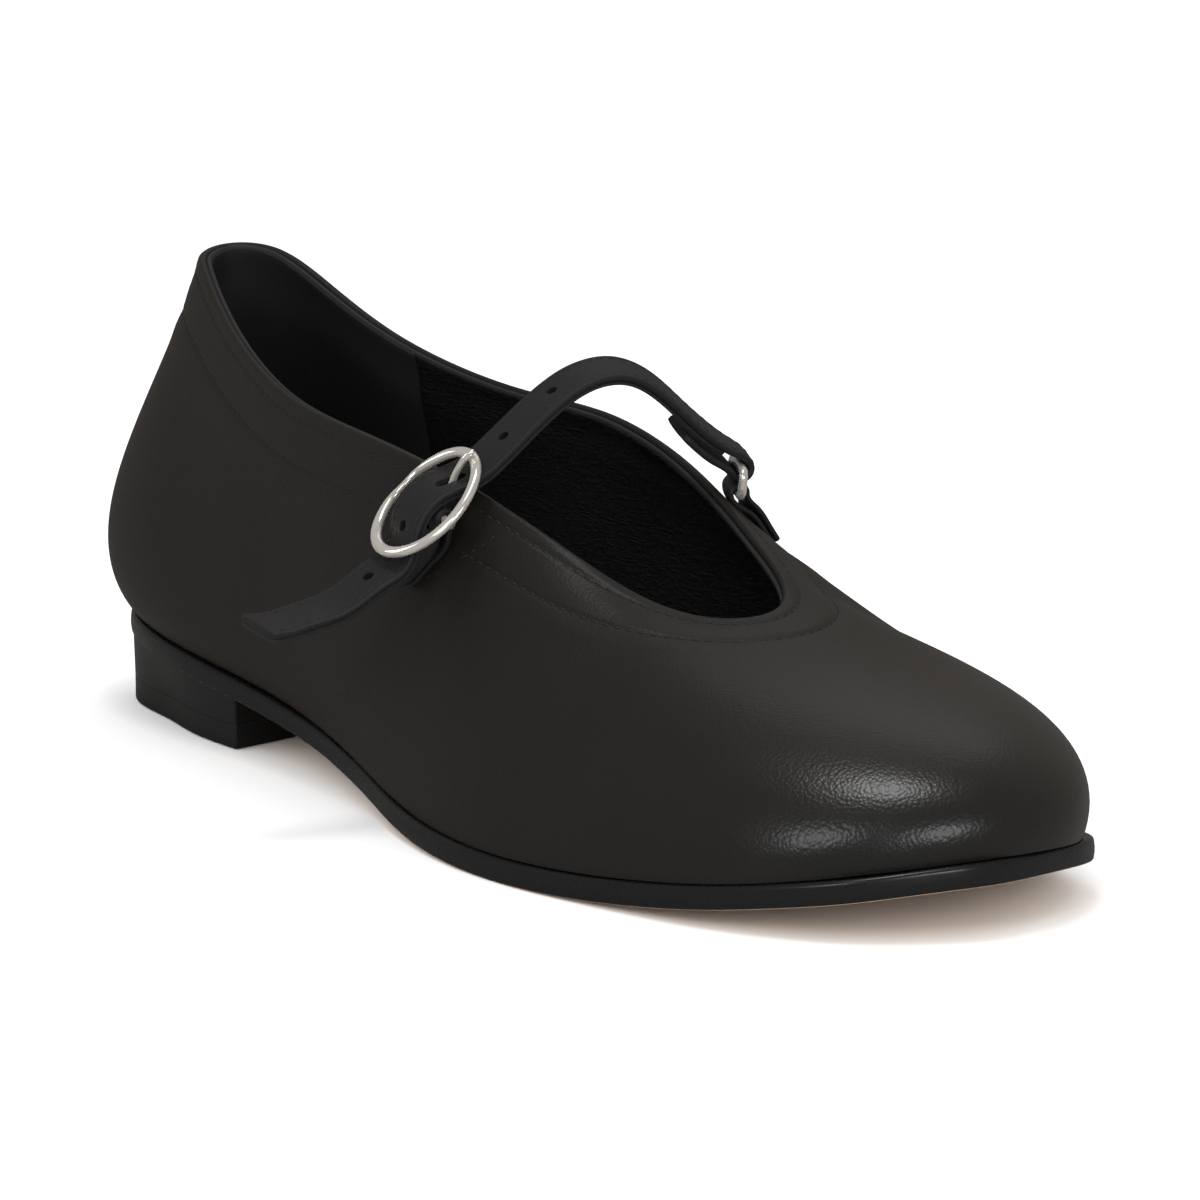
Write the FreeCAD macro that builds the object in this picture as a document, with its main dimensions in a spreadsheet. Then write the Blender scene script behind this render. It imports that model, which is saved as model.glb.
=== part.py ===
import FreeCAD, Part
import math
import os

# Right-foot low-heeled Mary Jane shoe with an instep strap and a buckle on the outer side.
# Frame (mm): X towards the toe, Y towards the inner side of the foot, Z up; the origin is on
# the floor, about the centre of the heel's ground face.
# Round the shoe, "turn" runs 0..1 from the heel centre by the outer side (-Y) to the toe and
# back by the inner side. Up the upper, "climb" runs 0..1 from the feather edge to the topline.

Vector = FreeCAD.Vector
doc = FreeCAD.newDocument("shoe")

# ---------------------------------------------------------------- driving dimensions
SIZES = [
    # upper and its layers
    ("sole_length", 250.0), ("outsole_thick", 4.0), ("upper_thick", 1.2),
    ("stiffener_thick", 0.9), ("lining_thick", 0.9), ("layer_gap", 0.25),
    # layers under the foot, and the heel
    ("lasting_margin", 12.0), ("insole_thick", 2.0), ("sock_thick", 1.0), ("pad_thick", 2.0),
    ("filler_thick", 1.2), ("shank_thick", 1.0), ("shank_width", 13.0), ("lift_thick", 4.5),
    ("heel_breast", 26.6),
    # topline bead and strap
    ("bead_width", 2.6), ("bead_rise", 1.5), ("strap_width", 10.0), ("strap_skin", 1.2),
    ("strap_back", 0.6), ("hole_dia", 2.0), ("hole_pitch", 12.0),
    # buckle, chape and link
    ("ring_long", 23.8), ("ring_wide", 19.7), ("ring_wire", 1.8), ("ring_dome", 0.5),
    ("bar_dia", 1.6), ("bar_drop", 2.0), ("prong_dia", 1.4), ("chape_width", 10.0),
    ("chape_thick", 0.9), ("link_wire", 1.6), ("link_wide", 14.0),
    # fasteners
    ("nail_dia", 2.0), ("nail_head", 4.0), ("pin_dia", 1.6),
    ("buckle_pitch_deg", 13.0),
]
sheet = doc.addObject("Spreadsheet::Sheet", "dims")
for row, (alias, value) in enumerate(SIZES, start=1):
    sheet.set("A%d" % row, alias)
    sheet.set("B%d" % row, repr(value))
    sheet.setAlias("B%d" % row, alias)
doc.recompute()


def dim(alias):
    return float(sheet.get(alias))


SCALE = dim("sole_length") / 250.0  # the tables below are drawn for a 250 mm sole
UPPER = dim("upper_thick")
STIFFENER = dim("stiffener_thick")
LINING = dim("lining_thick")
LAYER_GAP = dim("layer_gap")
PAD = dim("pad_thick")

# depths below the outside face of the upper
STIFFENER_DEPTH = UPPER + LAYER_GAP
LINING_DEPTH = STIFFENER_DEPTH + STIFFENER + LAYER_GAP
CAVITY_DEPTH = LINING_DEPTH + LINING

# heights over the outsole's upper side
SEAT_GAP = 0.2
MARGIN_TOP = SEAT_GAP + UPPER
FLOOR = MARGIN_TOP + LAYER_GAP
INSOLE_TOP = FLOOR + dim("insole_thick")
PAD_LOW = INSOLE_TOP + 0.1

# ---------------------------------------------------------------- shape tables
# Feather edge, where the upper meets the sole: x, y at even turns.
FEATHER = [
    (-28.20, 0.00), (-25.90, -13.50), (-14.60, -22.50), (12.00, -27.70), (45.00, -27.20),
    (77.00, -31.80), (110.00, -40.80), (142.00, -43.90), (173.00, -38.00), (201.00, -25.60),
    (218.00, 3.00), (206.30, 28.00), (175.00, 41.20), (142.00, 41.20), (110.00, 31.90),
    (77.00, 24.40), (45.00, 23.80), (12.00, 24.80), (-14.00, 20.40), (-25.00, 12.30),
]
# Topline, the mouth of the shoe: x, y, z at the same turns.
TOPLINE = [
    (-18.50, 0.00, 86.30), (-12.30, -8.50, 85.70), (-2.00, -14.00, 83.60),
    (18.00, -20.30, 75.30), (46.00, -25.40, 67.00), (75.00, -26.40, 63.30),
    (105.00, -23.30, 57.40), (126.00, -16.70, 48.80), (138.00, -10.20, 42.80),
    (147.00, -3.50, 40.50), (152.30, 4.00, 41.20), (147.50, 12.00, 43.00),
    (138.00, 17.00, 46.00), (125.00, 20.70, 50.00), (103.00, 25.40, 56.80),
    (75.00, 27.00, 62.80), (46.00, 25.20, 64.40), (18.00, 17.90, 71.30),
    (-2.00, 11.90, 81.70), (-13.00, 7.40, 86.20),
]
# Wall handles at the same turns: the lower one's distance outward and upward from the
# feather edge, then the upper one's distance outward and downward from the topline.
HANDLES = [
    (8.03, 23.85, 4.40, 22.68), (11.00, 22.20, 5.26, 23.41), (14.20, 17.39, 7.19, 23.27),
    (13.60, 11.11, 3.90, 20.45), (11.60, 7.54, 3.08, 16.39), (6.60, 6.58, 3.07, 14.31),
    (3.04, 7.06, 3.86, 11.37), (1.34, 7.84, 9.49, 7.71), (1.74, 9.99, 16.99, 4.53),
    (3.14, 12.83, 26.47, 5.11), (5.27, 17.53, 32.17, 8.78), (6.99, 20.73, 26.62, 10.07),
    (7.80, 24.36, 18.42, 13.52), (7.41, 27.21, 14.62, 9.88), (5.98, 26.54, 8.27, 11.21),
    (5.88, 24.54, 6.20, 12.26), (6.43, 22.90, 4.90, 13.44), (6.79, 23.38, 4.87, 17.18),
    (7.95, 25.23, 8.15, 20.31), (8.00, 25.47, 5.68, 21.56),
]
# Outline of the outsole: x, y.
SOLE_EDGE = [
    (-29.70, 0.00), (-26.90, -12.90), (-18.40, -21.20), (-6.40, -25.90), (7.30, -28.30),
    (21.60, -28.90), (38.10, -28.50), (56.80, -28.90), (70.98, -31.01), (85.34, -34.49),
    (99.53, -38.86), (113.79, -42.74), (128.23, -44.97), (142.75, -44.99), (157.21, -42.97),
    (171.51, -39.64), (185.83, -35.32), (198.68, -28.77), (208.58, -20.93), (215.57, -10.42),
    (219.02, 0.66), (215.53, 14.75), (209.50, 26.70), (199.80, 35.00), (186.18, 39.36),
    (171.79, 43.01), (157.31, 44.09), (142.83, 42.52), (128.51, 39.08), (114.32, 34.68),
    (100.13, 30.24), (85.85, 26.57), (71.34, 24.51), (57.13, 24.06), (38.49, 24.77),
    (21.90, 25.57), (7.55, 25.56), (-5.68, 24.00), (-17.03, 19.52), (-26.23, 11.73),
]
# Height of the outsole's ground side, every RISE_STEP along X from RISE_START.
RISE_START, RISE_STEP = -40.0, 10.0
SOLE_RISE = [
    14.562, 14.374, 13.908, 13.318, 12.599, 11.748, 10.758, 9.625, 8.358, 7.022,
    5.695, 4.439, 3.306, 2.334, 1.530, 0.893, 0.418, 0.101, -0.062, -0.028,
    0.291, 0.956, 1.958, 3.280, 4.895, 6.777, 8.900, 9.351,
]


# ---------------------------------------------------------------- number and curve tools
def always(value):
    """Function that gives the same value whatever it is asked."""
    return lambda *place: value


def smooth_step(x, start, end):
    """0 before start, 1 after end, eased between."""
    part = min(max((x - start) / (end - start), 0.0), 1.0)
    return part * part * (3 - 2 * part)


def span(start, end, count):
    return [start + (end - start) * i / (count - 1.0) for i in range(count)]


def running_length(points):
    """Length of the polyline up to each point, taken in the first two coordinates."""
    run = [0.0]
    for a, b in zip(points, points[1:]):
        run.append(run[-1] + math.hypot(b[0] - a[0], b[1] - a[1]))
    return run


def solve(rows, right_side):
    """Gaussian elimination; right_side is a list of coordinate lists."""
    count = len(rows)
    table = [list(row) + list(extra) for row, extra in zip(rows, right_side)]
    for i in range(count):
        pivot = max(range(i, count), key=lambda r: abs(table[r][i]))
        table[i], table[pivot] = table[pivot], table[i]
        for r in range(i + 1, count):
            factor = table[r][i] / table[i][i]
            if factor:
                table[r] = [x - factor * y for x, y in zip(table[r], table[i])]
    result = [None] * count
    for i in range(count - 1, -1, -1):
        result[i] = [
            (table[i][count + c] - sum(table[i][j] * result[j][c] for j in range(i + 1, count)))
            / table[i][i]
            for c in range(len(table[0]) - count)
        ]
    return result


class Spline:
    """Cubic spline through evenly spaced knots, closed (periodic) or open (natural ends)."""

    def __init__(self, points, closed):
        self.points = points
        self.closed = closed
        self.axes = range(len(points[0]))
        count = len(points)
        rows, right_side = [], []
        for i in range(count):
            row = [0.0] * count
            if closed or 0 < i < count - 1:
                before, after = (i - 1) % count, (i + 1) % count
                row[before] += 1.0
                row[i] += 4.0
                row[after] += 1.0
                right_side.append([
                    6.0 * (points[before][c] - 2 * points[i][c] + points[after][c])
                    for c in self.axes
                ])
            else:
                row[i] = 1.0
                right_side.append([0.0 for c in self.axes])
            rows.append(row)
        self.bends = solve(rows, right_side)

    def at(self, place):
        """Point at place, which runs 0..1 along the whole spline."""
        count = len(self.points)
        if self.closed:
            x = (place % 1.0) * count
            i = int(math.floor(x)) % count
            t = x - math.floor(x)
            j = (i + 1) % count
        else:
            x = min(max(place, 0.0), 1.0) * (count - 1)
            i = min(int(x), count - 2)
            t = x - i
            j = i + 1
        s = 1.0 - t
        return [
            s * self.points[i][c] + t * self.points[j][c]
            + (s * s * s - s) * self.bends[i][c] / 6.0
            + (t * t * t - t) * self.bends[j][c] / 6.0
            for c in self.axes
        ]


def scaled(table):
    return [tuple(value * SCALE for value in entry) for entry in table]


def outward(loop, turn):
    """Unit direction out of a loop in plan; all loops run anticlockwise seen from above."""
    a, b = loop.at(turn - 1e-4), loop.at(turn + 1e-4)
    x, y = b[0] - a[0], b[1] - a[1]
    length = math.hypot(x, y)
    return (y / length, -x / length)


def inset(loop, turn, distance):
    """Plan point a distance inside a loop."""
    point, out = loop.at(turn), outward(loop, turn)
    return (point[0] - out[0] * distance, point[1] - out[1] * distance)


def inset_loop(loop, distance, count=80):
    return [inset(loop, i / float(count), distance) for i in range(count)]


sole_rise = Spline([(z,) for z in SOLE_RISE], False)
feather = Spline(scaled(FEATHER), True)
sole_edge = Spline(scaled(SOLE_EDGE), True)


def under(x):
    """Height of the outsole's ground side at X."""
    return sole_rise.at((x / SCALE - RISE_START) / (RISE_STEP * (len(SOLE_RISE) - 1)))[0]


def deck(x):
    """Height of the outsole's upper side at X."""
    return under(x) + dim("outsole_thick")


def above_deck(rise):
    return lambda x: deck(x) + rise


# ---------------------------------------------------------------- outside face of the upper
def wall_loops():
    """Four closed loops of control points, from the feather edge up to the topline."""
    topline = Spline(scaled(TOPLINE), True)
    loops = [[], [], [], []]
    stations = zip(scaled(FEATHER), scaled(TOPLINE), scaled(HANDLES))
    for i, ((foot_x, foot_y), (top_x, top_y, top_z), handle) in enumerate(stations):
        low_out, low_up, high_out, high_down = handle
        turn = i / float(len(FEATHER))
        foot_dir, top_dir = outward(feather, turn), outward(topline, turn)
        foot_z = deck(foot_x) + SEAT_GAP
        loops[0].append((foot_x, foot_y, foot_z))
        loops[1].append(
            (foot_x + foot_dir[0] * low_out, foot_y + foot_dir[1] * low_out, foot_z + low_up))
        loops[2].append(
            (top_x + top_dir[0] * high_out, top_y + top_dir[1] * high_out, top_z - high_down))
        loops[3].append((top_x, top_y, top_z))
    return [Spline(points, True) for points in loops]


WALL_LOOPS = wall_loops()


def skin_point(turn, climb):
    """Point of the outside face: a cubic Bezier up the wall at each turn."""
    rest = 1.0 - climb
    weights = (rest ** 3, 3 * climb * rest ** 2, 3 * climb ** 2 * rest, climb ** 3)
    points = [loop.at(turn) for loop in WALL_LOOPS]
    return Vector(*[sum(w * p[c] for w, p in zip(weights, points)) for c in range(3)])


def skin_frame(turn, climb):
    """Outward normal and upward tangent of the outside face."""
    around = skin_point(turn + 1e-3, climb) - skin_point(turn - 1e-3, climb)
    low, high = max(climb - 1e-3, 0.0), min(climb + 1e-3, 1.0)
    rising = skin_point(turn, high) - skin_point(turn, low)
    normal = around.cross(rising)
    normal.normalize()
    rising.normalize()
    return normal, rising


def depth_point(turn, climb, depth):
    """Point at a depth below the outside face."""
    normal, _ = skin_frame(turn, climb)
    return skin_point(turn, climb) - normal * depth


def climb_at_height(turn, depth, rise):
    """Climb where the surface at a depth reaches a rise over the outsole's deck."""
    low, high = 0.0, 0.5
    for _ in range(30):
        middle = 0.5 * (low + high)
        point = depth_point(turn, middle, depth)
        if point.z < deck(point.x) + rise:
            low = middle
        else:
            high = middle
    return 0.5 * (low + high)


def depth_grid(turns, count, depth_of, low_rise, top_of=always(1.0)):
    """Points below the outside face: depth_of(climb) deep, up to top_of(turn).

    Columns start at low_rise over the deck, or at the feather edge if that is None.
    """
    grid = []
    for turn in turns:
        low = 0.0 if low_rise is None else climb_at_height(turn, depth_of(0.0), low_rise)
        climbs = span(low, top_of(turn), count)
        grid.append([depth_point(turn, climb, depth_of(climb)) for climb in climbs])
    return grid


# ---------------------------------------------------------------- free-form solids
def curve(points, closed=False, stations=None):
    """B-spline through points, at whole-number parameters unless stations are given."""
    if stations is None:
        stations = [float(i) for i in range(len(points) + (1 if closed else 0))]
    spline = Part.BSplineCurve()
    spline.interpolate(Points=points, PeriodicFlag=closed, Parameters=stations)
    return spline


def surface(grid, closed_u=False, closed_v=False):
    """B-spline surface through grid[i][j], i along u and j along v."""
    rows = [curve([line[j] for line in grid], closed_u) for j in range(len(grid[0]))]
    first = rows[0]
    columns = [
        curve([row.getPole(k + 1) for row in rows], closed_v) for k in range(first.NbPoles)
    ]
    last = columns[-1]
    result = Part.BSplineSurface()
    result.buildFromPolesMultsKnots(
        [column.getPoles() for column in columns],
        first.getMultiplicities(), last.getMultiplicities(),
        first.getKnots(), last.getKnots(), closed_u, closed_v, 3, 3,
    )
    return result


def ruled(a, b):
    return Part.makeRuledSurface(a.toShape(), b.toShape(), 1)


def outside_out(solid):
    """Turn a solid the right way out."""
    if solid.Volume < 0:
        solid.reverse()
    return solid


def close_up(faces):
    """Sew faces into a solid."""
    shell = Part.makeShell(faces)
    shell.sewShape()
    return outside_out(Part.makeSolid(shell if shell.ShapeType == "Shell" else shell.Shells[0]))


def tube(grid):
    """Solid inside a surface closed both ways."""
    return outside_out(Part.makeSolid(Part.makeShell([surface(grid, True, True).toShape()])))


def column(grid, j, closed=False):
    return curve([line[j] for line in grid], closed)


def layer(outer, inner):
    """Solid between two open grids of the same size, with straight walls round the rim."""
    faces = [surface(outer).toShape(), surface(inner).toShape()]
    faces += [ruled(column(outer, j), column(inner, j)) for j in (0, -1)]
    faces += [ruled(curve(outer[i]), curve(inner[i])) for i in (0, -1)]
    return close_up(faces)


made = []


def add_feature(label, shape):
    feature = doc.addObject("Part::Feature", label)
    feature.Label = label
    feature.Shape = shape
    feature.Placement = FreeCAD.Placement()
    made.append(feature)


# ---------------------------------------------------------------- upper and its layers
TURNS = [i / 60.0 for i in range(60)]
LINING_JOIN = 0.16       # turn of the joint between the linings, mirrored on the inner side
LINING_JOINT_GAP = 0.0015
COUNTER_REACH = 0.185    # turns covered each side of the heel centre
PUFF_REACH = 0.14        # turns covered each side of the toe (turn 0.5)
STIFFENER_JOINT_GAP = 0.0025
INTERLINING_TOP = 0.74


def upper_leather():
    """One piece: the wall, plus a lasting margin turned in under the foot."""
    outer = depth_grid(TURNS, 11, always(0.0), None)
    inner = depth_grid(TURNS, 11, always(UPPER), MARGIN_TOP)

    def margin_edge(rise):
        plan = [inset(feather, turn, dim("lasting_margin")) for turn in TURNS]
        return curve([Vector(x, y, deck(x) + rise) for x, y in plan], True)

    outer_low, outer_high = column(outer, 0, True), column(outer, -1, True)
    inner_low, inner_high = column(inner, 0, True), column(inner, -1, True)
    margin_low, margin_high = margin_edge(SEAT_GAP), margin_edge(MARGIN_TOP)
    return close_up([
        surface(outer, True).toShape(), surface(inner, True).toShape(),
        ruled(outer_high, inner_high), ruled(outer_low, margin_low),
        ruled(margin_low, margin_high), ruled(margin_high, inner_low),
    ])


def lining(turn_start, turn_end, count):
    """Lining that closes up to the upper near the topline, above the stiffeners."""
    turns = span(turn_start, turn_end, count)

    def depth_of(extra):
        return lambda climb: LINING_DEPTH - STIFFENER * smooth_step(climb, 0.80, 0.97) + extra

    return layer(*[depth_grid(turns, 11, depth_of(extra), FLOOR) for extra in (0.0, LINING)])


def stiffener(turn_start, turn_end, count, top_of):
    """Layer between the upper and the lining."""
    turns = span(turn_start, turn_end, count)
    depths = (STIFFENER_DEPTH, STIFFENER_DEPTH + STIFFENER)
    return layer(*[depth_grid(turns, 9, always(depth), FLOOR, top_of) for depth in depths])


def counter_top(turn):
    return 0.74 - 0.30 * smooth_step(abs(turn), 0.07, COUNTER_REACH)


def puff_top(turn):
    return 0.46 - 0.20 * smooth_step(abs(turn - 0.5), 0.04, PUFF_REACH)


def topline_binding():
    """Rounded bead closed round the mouth of the shoe."""
    half_width, half_rise = dim("bead_width") / 2.0, dim("bead_rise") / 2.0
    grid = []
    for turn in TURNS:
        normal, rising = skin_frame(turn, 1.0)
        centre = skin_point(turn, 1.0) - normal * (half_width - 0.25)
        centre = centre + rising * (half_rise + 0.2)
        ring = []
        for k in range(12):
            angle = 2 * math.pi * k / 12.0
            cosine, sine = math.cos(angle), math.sin(angle)
            # the power below 1 squares the oval off a little
            ring.append(
                centre
                + normal * (half_width * math.copysign(abs(cosine) ** 0.8, cosine))
                + rising * (half_rise * math.copysign(abs(sine) ** 0.8, sine))
            )
        grid.append(ring)
    return tube(grid)


add_feature("upper_leather", upper_leather())
add_feature("quarter_lining", lining(-LINING_JOIN, LINING_JOIN, 27))
vamp_start = LINING_JOIN + LINING_JOINT_GAP
add_feature("vamp_lining", lining(vamp_start, 1.0 - vamp_start, 41))
add_feature("heel_counter", stiffener(-COUNTER_REACH, COUNTER_REACH, 25, counter_top))
add_feature("toe_puff", stiffener(0.5 - PUFF_REACH, 0.5 + PUFF_REACH, 21, puff_top))
side_start = COUNTER_REACH + STIFFENER_JOINT_GAP
side_end = 0.5 - PUFF_REACH - STIFFENER_JOINT_GAP
side_top = always(INTERLINING_TOP)
add_feature("interlining_lateral", stiffener(side_start, side_end, 13, side_top))
add_feature("interlining_medial", stiffener(1.0 - side_end, 1.0 - side_start, 13, side_top))
add_feature("topline_binding", topline_binding())


# ---------------------------------------------------------------- PartDesign tools
def new_body(label):
    body = doc.addObject("PartDesign::Body", label)
    body.Label = label
    made.append(body)
    return body


def new_sketch(body, name, role, geometry, offset=0.0):
    """Sketch on an origin plane; in XZ_Plane the sketch's second axis is the shoe's Z."""
    sketch = body.newObject("Sketcher::SketchObject", name)
    plane = [f for f in body.Origin.OriginFeatures if f.Role == role][0]
    sketch.AttachmentSupport = [(plane, "")]
    sketch.MapMode = "FlatFace"
    sketch.AttachmentOffset = FreeCAD.Placement(Vector(0, 0, offset), FreeCAD.Rotation())
    for item in geometry:
        sketch.addGeometry(item, False)
    return sketch


def flat(points):
    return [Vector(x, y, 0) for x, y in points]


def polyline(points):
    corners = flat(points)
    return [Part.LineSegment(a, b) for a, b in zip(corners, corners[1:])]


def polygon(points):
    return polyline(points + points[:1])


def closed_outline(points):
    return [curve(flat(points), True)]


def d_outline(points):
    """Curve through the points, closed by a straight line."""
    return [curve(flat(points))] + polyline([points[-1], points[0]])


def add_pad(body, sketch, name, length):
    """Pad by a length in mm, or by an expression given as text."""
    pad = body.newObject("PartDesign::Pad", name)
    pad.Profile = sketch
    if isinstance(length, str):
        pad.setExpression("Length", length)
    else:
        pad.Length = length
    body.Tip = pad
    doc.recompute()


def add_pocket(body, sketch, name, length, symmetric=False, upwards=False):
    pocket = body.newObject("PartDesign::Pocket", name)
    pocket.Profile = sketch
    pocket.Length = length
    if symmetric:
        pocket.SideType = "Symmetric"
    pocket.Reversed = upwards
    body.Tip = pocket
    doc.recompute()


X_BACK, X_TOE = -30.0 * SCALE, 220.0 * SCALE
TRIM_WIDTH = 240.0


def sheet_solid(label, outline, low, high):
    """Plan outline padded up, then trimmed to the band between two height functions of X."""
    body = new_body(label)
    plan = new_sketch(body, label + "_plan", "XY_Plane", outline, -10.0)
    add_pad(body, plan, label + "_pad", 60.0)
    left, right = X_BACK - 30, X_TOE + 30
    waste = polygon([(left, -40), (right, -40), (right, 80), (left, 80)])
    xs = span(X_BACK - 12, X_TOE + 12, 28)
    low_edge = [(x, low(x)) for x in xs]
    high_edge = [(x, high(x)) for x in xs]
    band = [curve(flat(low_edge)), curve(flat(high_edge))]
    band += polyline([low_edge[0], high_edge[0]]) + polyline([low_edge[-1], high_edge[-1]])
    profile = new_sketch(body, label + "_profile", "XZ_Plane", waste + band)
    add_pocket(body, profile, label + "_trim", TRIM_WIDTH, symmetric=True)
    return body


def rear_outline(loop, inset_at, front_x, skew):
    """24 even points round the rear of a loop, as far as the line x = front_x - skew * y.

    inset_at(x, y) gives the distance inside the loop.
    """
    points = []
    for i in range(400):
        turn = -0.5 + i / 400.0
        x, y = inset(loop, turn, inset_at(*loop.at(turn)))
        if x <= front_x - skew * y:
            points.append((x, y))
    run = running_length(points)
    picked, i = [], 0
    for k in range(24):
        goal = run[-1] * k / 23.0
        while i < len(run) - 2 and run[i + 1] < goal:
            i += 1
        part = (goal - run[i]) / (run[i + 1] - run[i])
        (x, y), (next_x, next_y) = points[i], points[i + 1]
        picked.append((x + part * (next_x - x), y + part * (next_y - y)))
    return picked


# ---------------------------------------------------------------- layers under the foot
def sock_low(x):
    """Underside of the sock: over the foam pad behind, down to the insole in front."""
    over_pad = 1.0 - smooth_step(x, 44.0 * SCALE, 64.0 * SCALE)
    return deck(x) + PAD_LOW + (PAD + 0.1) * over_pad


def sock_high(x):
    return sock_low(x) + dim("sock_thick")


def foam_pad_plan():
    front = 50.0 * SCALE - 8.0
    return d_outline(rear_outline(feather, always(CAVITY_DEPTH + 1.6), front, 0.0))


def filler_plan():
    """Forepart inside the lasting margin, cut off straight at the back."""
    ring = inset_loop(feather, dim("lasting_margin") + 0.6, 160)
    front = [point for point in ring if point[0] > 124.0 * SCALE]
    return d_outline([front[int(round(k * (len(front) - 1) / 23.0))] for k in range(24)])


def shank_plan():
    """Long strip under the waist, narrower at both ends."""
    half = dim("shank_width") / 2.0
    back, front = 24.0 * SCALE, 121.0 * SCALE
    side = [(back, half * 0.8), (back + 6, half), (front - 8, half * 0.75), (front, half * 0.45)]
    return polygon([(x, -y) for x, y in side] + side[::-1])


outsole = sheet_solid("outsole", closed_outline(inset_loop(sole_edge, 0.0)), under, deck)
insole = sheet_solid(
    "insole_board", closed_outline(inset_loop(feather, CAVITY_DEPTH + 0.65)),
    above_deck(FLOOR), above_deck(INSOLE_TOP))
sheet_solid(
    "sock_lining", closed_outline(inset_loop(feather, CAVITY_DEPTH + 1.15)),
    sock_low, sock_high)
sheet_solid("heel_foam_pad", foam_pad_plan(), above_deck(PAD_LOW), above_deck(PAD_LOW + PAD))
sheet_solid(
    "bottom_filler", filler_plan(),
    above_deck(SEAT_GAP), above_deck(SEAT_GAP + dim("filler_thick")))
sheet_solid(
    "shank", shank_plan(), above_deck(SEAT_GAP), above_deck(SEAT_GAP + dim("shank_thick")))

# ---------------------------------------------------------------- heel
HEEL_GAP = 0.05  # between the block and the lift below, and the outsole above
HEEL_FOOT_Z = dim("lift_thick") + HEEL_GAP
HEEL_SEAT_Z = 16.0


def foot_taper(x, y):
    """How far the heel's ground outline lies inside the sole edge.

    Constant on the inner side; on the outer side most about X = 1, least towards the breast.
    """
    if y > 0:
        return 1.7
    return 0.3 + 2.1 * math.exp(-(((x - 1.0) / 14.5) ** 2)) + 1.4 * smooth_step(y, -14.0, 0.0)


def heel_plan(inset_at):
    return d_outline(rear_outline(sole_edge, inset_at, dim("heel_breast"), 0.20))


def heel_block():
    """Loft from a smaller foot to a larger seat, its top trimmed to the outsole's curve."""
    body = new_body("heel_block")
    foot = new_sketch(body, "heel_block_foot", "XY_Plane", heel_plan(foot_taper), HEEL_FOOT_Z)
    seat = new_sketch(body, "heel_block_seat", "XY_Plane", heel_plan(always(0.2)), HEEL_SEAT_Z)
    loft = body.newObject("PartDesign::AdditiveLoft", "heel_block_loft")
    loft.Profile = foot
    loft.Sections = [seat]
    loft.Ruled = True
    body.Tip = loft
    doc.recompute()
    edge = [(x, under(x) - HEEL_GAP) for x in span(X_BACK - 15, 60.0, 16)]
    over = [(edge[-1][0], 40.0), (edge[0][0], 40.0)]
    waste = [curve(flat(edge))] + polyline([edge[-1]] + over + [edge[0]])
    top = new_sketch(body, "heel_block_top", "XZ_Plane", waste)
    add_pocket(body, top, "heel_block_trim", TRIM_WIDTH, symmetric=True)
    return body


def top_lift():
    body = new_body("top_lift")
    plan = new_sketch(body, "top_lift_plan", "XY_Plane", heel_plan(foot_taper))
    add_pad(body, plan, "top_lift_pad", "dims.lift_thick")
    return body


heel = heel_block()
lift = top_lift()

# ---------------------------------------------------------------- fasteners
NAILS = [(-12.0, 0.0), (-2.0, -7.0), (-2.0, 7.0), (12.0, -8.0), (12.0, 8.0)]
PINS = [(-17.0, 0.0), (-6.0, -14.0), (-6.0, 14.0), (18.0, -15.0), (17.0, 14.0)]
NAIL_RADIUS = dim("nail_dia") / 2.0
HEAD_RADIUS = dim("nail_head") / 2.0
PIN_RADIUS = dim("pin_dia") / 2.0
NAIL_LOW = HEEL_FOOT_Z + 1.2
NAIL_POINT = 2.0
HEAD_THICK = 0.7
RECESS_DEPTH = 0.9  # of the nail heads, below the insole's upper side
PIN_LOW, PIN_TOP, PIN_POINT = 0.4, 8.6, 1.5
HOLE_CLEARANCE = 0.06
END_CLEARANCE = 0.05
DRILL_TOP, DRILL_BOTTOM = 60.0, -1.0


def drill(body, name, spots, radius, z_start, depth, upwards=False):
    """Round holes at the spots; stops the build if they remove nothing."""
    circles = [Part.Circle(Vector(x, y, 0), Vector(0, 0, 1), radius) for x, y in spots]
    sketch = new_sketch(body, name + "_plan", "XY_Plane", circles, z_start)
    before = len(body.Shape.Faces)
    add_pocket(body, sketch, name, depth, upwards=upwards)
    if not len(body.Shape.Faces) > before:
        raise RuntimeError(name + " removed nothing")


def drill_nail_holes():
    """Holes for the nails, which are driven down from inside the shoe."""
    radius = NAIL_RADIUS + HOLE_CLEARANCE
    drill(insole, "insole_nail_holes", NAILS, radius, DRILL_TOP, 80.0)
    for k, (x, y) in enumerate(NAILS):
        drill(insole, "insole_head_recess_%d" % k, [(x, y)], HEAD_RADIUS + 0.1,
              deck(x) + INSOLE_TOP - RECESS_DEPTH, 20.0, upwards=True)
    drill(outsole, "outsole_nail_holes", NAILS, radius, DRILL_TOP, 80.0)
    drill(heel, "heel_nail_holes", NAILS, radius, DRILL_TOP, DRILL_TOP - NAIL_LOW + END_CLEARANCE)


def drill_pin_holes():
    """Holes for the pins, which are driven up from the ground side."""
    radius = PIN_RADIUS + HOLE_CLEARANCE
    depth = PIN_TOP + END_CLEARANCE - DRILL_BOTTOM
    drill(heel, "heel_pin_holes", PINS, radius, DRILL_BOTTOM, depth, upwards=True)
    drill(lift, "lift_pin_holes", PINS, radius, DRILL_BOTTOM, 20.0, upwards=True)


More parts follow.
